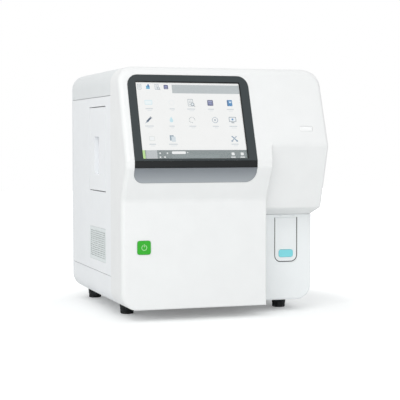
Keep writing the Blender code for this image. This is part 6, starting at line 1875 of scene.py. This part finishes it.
    def build_data(self) -> None:
        """Builds the data plate with its sockets, tongues and contacts."""
        x, z = self.data
        plate = solid("data_plate", View.FRONT, frame_of((x, z), *self.data_size), self.data_low,
                      SHAPE.rear_y, self.data_corner, 4)
        soften(plate, self.plate_edge)
        tongues, contacts, bottom = [], [], self.socket_bottom
        for up in self.socket_levels:
            socket = frame_of((x, z + up), *self.narrow_socket)
            self.recess(plate, socket, bottom, self.narrow_corner, 2)
            across, y = self.tongue_place
            tongue = about("tongue", (x + across, y, z + up), self.tongue_size)
            tongues.append(soften(tongue, self.tongue_edge))
            across, y = self.contact_place
            contacts += [
                about("contact", (x + across, y, z + up + step), self.contact_size)
                for step in self.contact_steps
            ]
        wide = frame_of((x, z - self.wide_drop), *self.wide_socket)
        self.recess(plate, wide, bottom, self.wide_corner, 2)
        hand_over(plate, ZINC, stands_for=("data_ports",))
        across, y, up = self.pin_start
        contacts += [
            about("pin", (x + across + index * self.pin_pitch, y, z + up), self.pin_size)
            for index in range(self.pin_count)
        ]
        hand_over(group("socket_tongues", *tongues), WHITE_NYLON)
        hand_over(group("socket_contacts", *contacts), BRASS, smooth=False)

    def build(self) -> None:
        """Builds the fittings and spreads the screws."""
        self.build_inlet()
        self.build_rocker()
        self.build_ports()
        self.build_data()
        y = SHAPE.rear_y
        edge = [(side * self.screw_x, y, z) for side in (-1, 1) for z in self.screw_levels]
        edge += [(side * self.end_screw_x, y, z) for side in (-1, 1) for z in self.screw_ends]
        Screws().spread("cover", View.REAR, edge)
        (x, z), hole = self.fan, self.fan_hole
        corners = [(x + a * hole, y, z + b * hole) for a in (-1, 1) for b in (-1, 1)]
        Screws(0.0032, 0.0014).spread("fan", View.REAR, corners, 35.0)
        (x, z), up = self.data, self.plate_screw_z
        Screws(0.0024, 0.0011).spread("plate", View.REAR, [(x, y, z + up), (x, y, z - up)])


@dataclass
class Fluidics:
    """What the side door shows: syringes, valve block and waste pump on their plate."""

    plate_x: float = -0.1253
    barrel_x: float = -0.142
    barrel_y: Spot = (-0.060, -0.032)
    barrel_z: Spot = (0.335, 0.425)
    bore: float = 0.0075
    tube_radius: float = 0.0086
    head_height: float = 0.010
    head_half: Spot = (0.0105, 0.011)
    line_start: float = 0.012
    line_pitch: float = 0.005
    line_width: float = 0.0004
    nut_profile: tuple[Spot, ...] = (
        (0.0, 0.0), (0.0048, 0.0), (0.0052, 0.0016), (0.0052, 0.006), (0.0040, 0.0075),
        (0.0, 0.0075),
    )
    yoke_z: Spot = (0.306, 0.316)
    yoke_side: float = 0.008
    rod_radius: float = 0.003
    valve_y: Spot = (-0.006, 0.056)
    valve_z: Spot = (0.372, 0.422)
    valve_depth: float = 0.022
    coil_radius: float = 0.0085
    coil_length: float = 0.014
    cap_profile: tuple[Spot, ...] = (
        (0.0, -0.0026), (0.0056, -0.0026), (0.0056, -0.0010), (0.0050, -0.0004),
        (0.0026, -0.0004), (0.0026, 0.0), (0.0, 0.0),
    )
    pin_step: float = 0.003
    pin_size: Place = (0.0006, 0.0016, 0.0032)
    pump: Spot = (0.026, 0.300)
    housing_floor: float = 0.008
    housing_profile: tuple[Spot, ...] = (
        (0.0, 0.0), (0.026, 0.0), (0.026, 0.0248), (0.0252, 0.026), (0.0233, 0.026),
        (0.0225, 0.0252), (0.0225, 0.008), (0.003, 0.008), (0.003, 0.0228), (0.0, 0.0228),
    )
    rotor_lift: float = 0.0005
    rotor_profile: tuple[Spot, ...] = (
        (0.0033, 0.0), (0.0186, 0.0), (0.019, 0.0004), (0.019, 0.0026), (0.0186, 0.003),
        (0.0065, 0.003), (0.006, 0.0036), (0.006, 0.0137), (0.0054, 0.0143), (0.0033, 0.0143),
        (0.0033, 0.0),
    )
    roller_circle: float = 0.0155
    roller_profile: tuple[Spot, ...] = (
        (0.0, 0.0028), (0.0050, 0.0028), (0.0055, 0.0034), (0.0055, 0.0137), (0.0050, 0.0143),
        (0.0022, 0.0143), (0.0018, 0.0139), (0.0, 0.0139),
    )
    screw_y: Spot = (-0.102, 0.080)
    screw_z: tuple[float, ...] = (0.275, 0.355, 0.435)

    def build_syringe(self, name: str, y: float) -> None:
        """Builds a glass barrel with its head block, nut, foot and measuring lines."""
        (low, top), r, bore = self.barrel_z, self.tube_radius, self.bore
        head_low = top - self.head_height
        x, node = self.barrel_x, name + "_barrel"
        wall = ring_of(bore, r, low + 0.001, head_low)
        tube = turned(name + "_tube", View.TOP, (x, y), wall, 40)
        hand_over(tube, CLEAR, stands_for=(node,))
        half_x, half_y = self.head_half
        head = slab(name + "_head", (x - half_x, y - half_y, head_low),
                    (self.plate_x, y + half_y, top + 0.001))
        hand_over(soften(head, 0.0012, 3), GREY, stands_for=(node,))
        foot = raised([
            (bore, 0.0), (r + 0.0006, 0.0), (r + 0.0006, 0.004), (r, 0.0046),
            (r - 0.0003, 0.0046), (bore, 0.001), (bore, 0.0),
        ], low)
        rings = [turned("ring", View.TOP, (x, y), foot, 40)]
        level = low + self.line_start
        while level < head_low - 0.006:
            line = ring_of(r - 0.0001, r + 0.0001, level, level + self.line_width)
            rings.append(turned("ring", View.TOP, (x, y), line, 40))
            level += self.line_pitch
        hand_over(group(name + "_rings", *rings), BLACK)
        nut = turned(name + "_nut", View.TOP, (x, y), raised(self.nut_profile, top), 12)
        hand_over(nut, WHITE_NYLON, smooth=False)

    def build_yoke(self) -> None:
        """Builds the yoke's bar with both rods and their seals."""
        (low, top), side = self.yoke_z, self.yoke_side
        first, last = self.barrel_y
        bar = slab("yoke_bar", (self.barrel_x - side, first - side, low),
                   (self.plate_x, last + side, top))
        soften(bar, 0.0014, 3)
        head_top = self.barrel_z[1] - self.head_height - SHAPE.gap
        rod, r = self.rod_radius, self.bore - 0.0003
        rod_low, rod_top = low + 0.005, head_top - 0.009
        seal = raised([
            (0.0, -0.0098), (r, -0.0098), (r, -0.0070), (r - 0.0008, -0.0064),
            (r - 0.0008, -0.0042), (r, -0.0036), (r, -0.0010), (r - 0.0010, 0.0), (0.0, 0.0),
        ], head_top)
        seals = []
        for y in self.barrel_y:
            profile = [(0.0, rod_low), (rod, rod_low), (rod, rod_top), (0.0, rod_top)]
            weld(bar, turned("rod", View.TOP, (self.barrel_x, y), profile, 28))
            seals.append(turned("seal", View.TOP, (self.barrel_x, y), seal, 36))
        hand_over(bar, STEEL, "plunger_yoke", ("plunger_yoke",))
        hand_over(group("plunger_seals", *seals), RUBBER, "plunger_yoke")

    def build_valves(self) -> None:
        """Builds the valve block with its six coils, caps and terminals."""
        left = self.plate_x - self.valve_depth
        (near, far), (low, top) = self.valve_y, self.valve_z
        block = slab("valve_block", (left, near, low), (self.plate_x, far, top))
        hand_over(soften(block, 0.0012, 3), GREY, stands_for=("valve_manifold",))
        r, out, tip = self.coil_radius, -left, self.coil_length - left
        coil = [(0.0, out - 0.002), (r, out - 0.002), (r, tip - 0.0034), (r - 0.0010, tip - 0.0024),
                (0.0, tip - 0.0024)]
        coils, caps, pins = [], [], []
        for column in range(3):
            for row in range(2):
                y = near + (far - near) * (column + 0.5) / 3
                z = low + (top - low) * (row + 0.5) / 2
                coils.append(turned("coil", View.LEFT, (-y, z), coil, 40))
                caps.append(turned("cap", View.LEFT, (-y, z), raised(self.cap_profile, tip), 32))
                for side in (-self.pin_step, self.pin_step):
                    centre = (0.0031 - tip, y + side, z + r + 0.0010)
                    pins.append(about("pin", centre, self.pin_size))
        hand_over(group("valve_coils", *coils), COIL, stands_for=("valve_manifold",))
        hand_over(group("coil_caps", *caps), ZINC)
        hand_over(group("coil_pins", *pins), BRASS, smooth=False)

    def build_pump(self) -> None:
        """Builds the pump's housing, its squeezed tube, and the rotor with three rollers."""
        y, z = self.pump
        right = -self.plate_x
        floor = right + self.housing_floor
        back = floor + self.rotor_lift
        profile = raised(self.housing_profile, right)
        housing = turned("pump_housing", View.LEFT, (-y, z), profile, 72)
        hand_over(housing, GREY, stands_for=("waste_pump",))
        tube = ring_of(0.0213, 0.0224, floor + 0.005, floor + 0.012)
        hand_over(soften(turned("pump_tube", View.LEFT, (-y, z), tube, 72), 0.0004, 3), SILICONE)
        disc = turned("rotor_disc", View.LEFT, (-y, z), raised(self.rotor_profile, back), 56)
        hand_over(disc, STEEL, "pump_rotor", ("pump_rotor",))
        rollers = []
        for turn in (0.0, math.tau / 3, math.tau * 2 / 3):
            reach = self.roller_circle
            spot = (-(y + reach * math.cos(turn)), z + reach * math.sin(turn))
            rollers.append(turned("roller", View.LEFT, spot, raised(self.roller_profile, back), 32))
        hand_over(group("pump_rollers", *rollers), WHITE_NYLON, "pump_rotor")

    def build(self) -> None:
        """Builds what the plate carries and its screws."""
        for name, y in zip(("diluent", "lyse"), self.barrel_y):
            self.build_syringe(name, y)
        self.build_yoke()
        self.build_valves()
        self.build_pump()
        x = self.plate_x + SHAPE.gap
        places = [(x, y, z) for y in self.screw_y for z in self.screw_z]
        Screws(0.0032, 0.0014).spread("fluidics", View.LEFT, places, 25.0)


@dataclass
class Feet:
    """The four rubber feet."""

    places: tuple[tuple[str, Spot], ...] = (
        ("foot_front_left", (-0.171, -0.0702)), ("foot_front_right", (0.171, -0.0702)),
        ("foot_rear_left", (-0.171, 0.2128)), ("foot_rear_right", (0.171, 0.2128)),
    )
    profile: tuple[Spot, ...] = (
        (0.0, 0.0012), (0.0085, 0.0012), (0.0095, 0.0), (0.0123, 0.0), (0.0134, 0.0005),
        (0.0138, 0.0016), (0.0142, 0.006), (0.0137, 0.0068), (0.0137, 0.0078), (0.0145, 0.0086),
        (0.0156, 0.0215), (0.0152, 0.0232), (0.0, 0.0232),
    )

    def build(self) -> None:
        """Turns one foot and copies it to the other places."""
        first = turned("rubber_foot", View.TOP, (0.0, 0.0), self.profile, 56)
        for name, (x, y) in self.places:
            foot = copy_of(first, "rubber_" + name, (x, y, 0.0))
            hand_over(foot, RUBBER, stands_for=(name,))
        bpy.data.objects.remove(first, do_unlink=True)


@dataclass
class Studio:
    """A plain white floor and backdrop, soft lamps, and the camera."""

    floor_size: float = 12.0
    floor_lift: float = 0.16
    fade_from: float = 0.31
    fade_to: float = 0.66
    room_strength: float = 0.70
    eye: Place = (-0.8392, -2.5549, 0.3632)
    pitch: float = 90.0 - 2.7988
    heading: float = -18.4622
    lens: float = 110.87
    sensor: float = 36.0
    # Name, place, aim, side in metres and power in watts of each lamp
    lamps: tuple[tuple[str, Place, Place, float, float], ...] = (
        ("key_lamp", (-1.7, -2.1, 2.2), (0.0, 0.0, 0.25), 2.2, 33.0),
        ("low_fill_lamp", (-0.3, -2.3, 0.35), (0.0, 0.0, 0.25), 1.2, 5.5),
        ("top_lamp", (0.3, 0.0, 2.9), (0.0, 0.0, 0.3), 2.6, 7.0),
    )

    def floor(self) -> None:
        """Lays the floor, which shows white and keeps the object's shadow."""
        clear_selection()
        bpy.ops.mesh.primitive_plane_add(size=self.floor_size, location=(0, 0, 0))
        floor = bpy.context.object
        floor.name = floor.data.name = "studio_floor"
        sheet = bpy.data.materials.new("matt_white_floor")
        sheet.use_nodes = True
        tree = sheet.node_tree
        tree.nodes.clear()
        seen = add_node(tree, "LightPath").outputs["Is Camera Ray"]
        paint = add_node(tree, "BsdfDiffuse", {"Color": linear("#f7f8f8")})
        spot = add_node(tree, "TexCoord").outputs["Object"]
        reach = add_node(tree, "VectorMath", {0: spot}, operation="LENGTH").outputs["Value"]
        fade = add_node(tree, "MapRange", {
            "Value": reach, "From Min": self.fade_from, "From Max": self.fade_to,
            "To Min": self.floor_lift,
        }, interpolation_type="SMOOTHSTEP")
        lift = add_node(tree, "Emission", {
            "Color": linear("#ffffff"), "Strength": fade.outputs["Result"],
        })
        both = add_node(tree, "AddShader", {0: paint.outputs[0], 1: lift.outputs[0]})
        shown = add_node(tree, "MixShader", {0: seen, 1: paint.outputs[0], 2: both.outputs[0]})
        add_node(tree, "OutputMaterial", {"Surface": shown.outputs[0]})
        floor.data.materials.append(sheet)

    def sky(self) -> None:
        """Lights the room softly and shows it white behind the object."""
        world = bpy.data.worlds.new("white_room")
        world.use_nodes = True
        tree = world.node_tree
        tree.nodes.clear()
        path = add_node(tree, "LightPath")
        either = add_node(tree, "Math", {
            0: path.outputs["Is Camera Ray"], 1: path.outputs["Is Glossy Ray"],
        }, operation="MAXIMUM")
        shown = add_node(tree, "Math", {
            0: either.outputs[0], 1: path.outputs["Is Transmission Ray"],
        }, operation="MAXIMUM")
        dim = add_node(tree, "Background", {
            "Color": linear("#fdfefe"), "Strength": self.room_strength,
        })
        white = add_node(tree, "Background", {"Color": linear("#ffffff"), "Strength": 1.0})
        mixed = add_node(tree, "MixShader", {
            0: shown.outputs[0], 1: dim.outputs[0], 2: white.outputs[0],
        })
        add_node(tree, "OutputWorld", {"Surface": mixed.outputs[0]})
        bpy.context.scene.world = world

    def lamp(self, name: str, spot: Place, aim: Place, size: float, power: float) -> None:
        """Hangs one square soft lamp, aimed at a point."""
        light = bpy.data.lights.new(name, "AREA")
        light.size = size
        light.energy = power
        lamp = bpy.data.objects.new(name, light)
        lamp.location = spot
        lamp.rotation_euler = (Vector(aim) - Vector(spot)).to_track_quat("-Z", "Y").to_euler()
        bpy.context.scene.collection.objects.link(lamp)

    def camera(self) -> None:
        """Sets the camera where the photograph was taken from."""
        data = bpy.data.cameras.new("camera")
        data.lens = self.lens
        data.sensor_width = self.sensor
        camera = bpy.data.objects.new("camera", data)
        camera.location = self.eye
        camera.rotation_euler = (math.radians(self.pitch), 0.0, math.radians(self.heading))
        bpy.context.scene.collection.objects.link(camera)
        bpy.context.scene.camera = camera

    def build(self) -> None:
        """Sets up floor, room, lamps and camera."""
        self.floor()
        self.sky()
        for lamp in self.lamps:
            self.lamp(*lamp)
        self.camera()
        bpy.context.scene.view_settings.view_transform = "Standard"


def dress_frame(frame: dict[str, Any]) -> None:
    """Gives every node of the frame the finish of its slot.
    """
    rows = {row["slot"]: row for row in frame["record"].get("materials", [])}
    for name, node in frame["nodes"].items():
        slot = next((key for key, row in rows.items() if name in row.get("nodes", ())), "")
        current = node.data.materials[0].name if node.data.materials else ""
        painted = current.split(".")[0].replace(" ", "_")
        finish = SLOT_FINISHES.get(slot) or SLOT_FINISHES.get(painted) or GREY
        node.data.materials.clear()
        node.data.materials.append(finish.material())
        LOG.info("dressed %s as %s", name, finish.name)


def main() -> None:
    """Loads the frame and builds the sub-assemblies in order."""
    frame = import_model()
    clear_selection()
    dress_frame(frame)
    casing = Casing()
    builds: list[tuple[str, Callable[[], None]]] = [
        ("front cover", FrontCover().build),
        ("display", Display().build),
        ("power key", PowerKey().build),
        ("status lamp", StatusLamp().build),
        ("sampling station", SamplingStation().build),
        ("casing", casing.build),
        ("service door", lambda: ServiceDoor().build(casing)),
        ("rear fittings", RearFittings().build),
        ("fluidics", Fluidics().build),
        ("feet", Feet().build),
        ("studio", Studio().build),
    ]
    for label, build in builds:
        build()
        LOG.info("built %s", label)


if __name__ == "__main__":
    logging.basicConfig(level=logging.INFO, format="%(message)s")
    main()
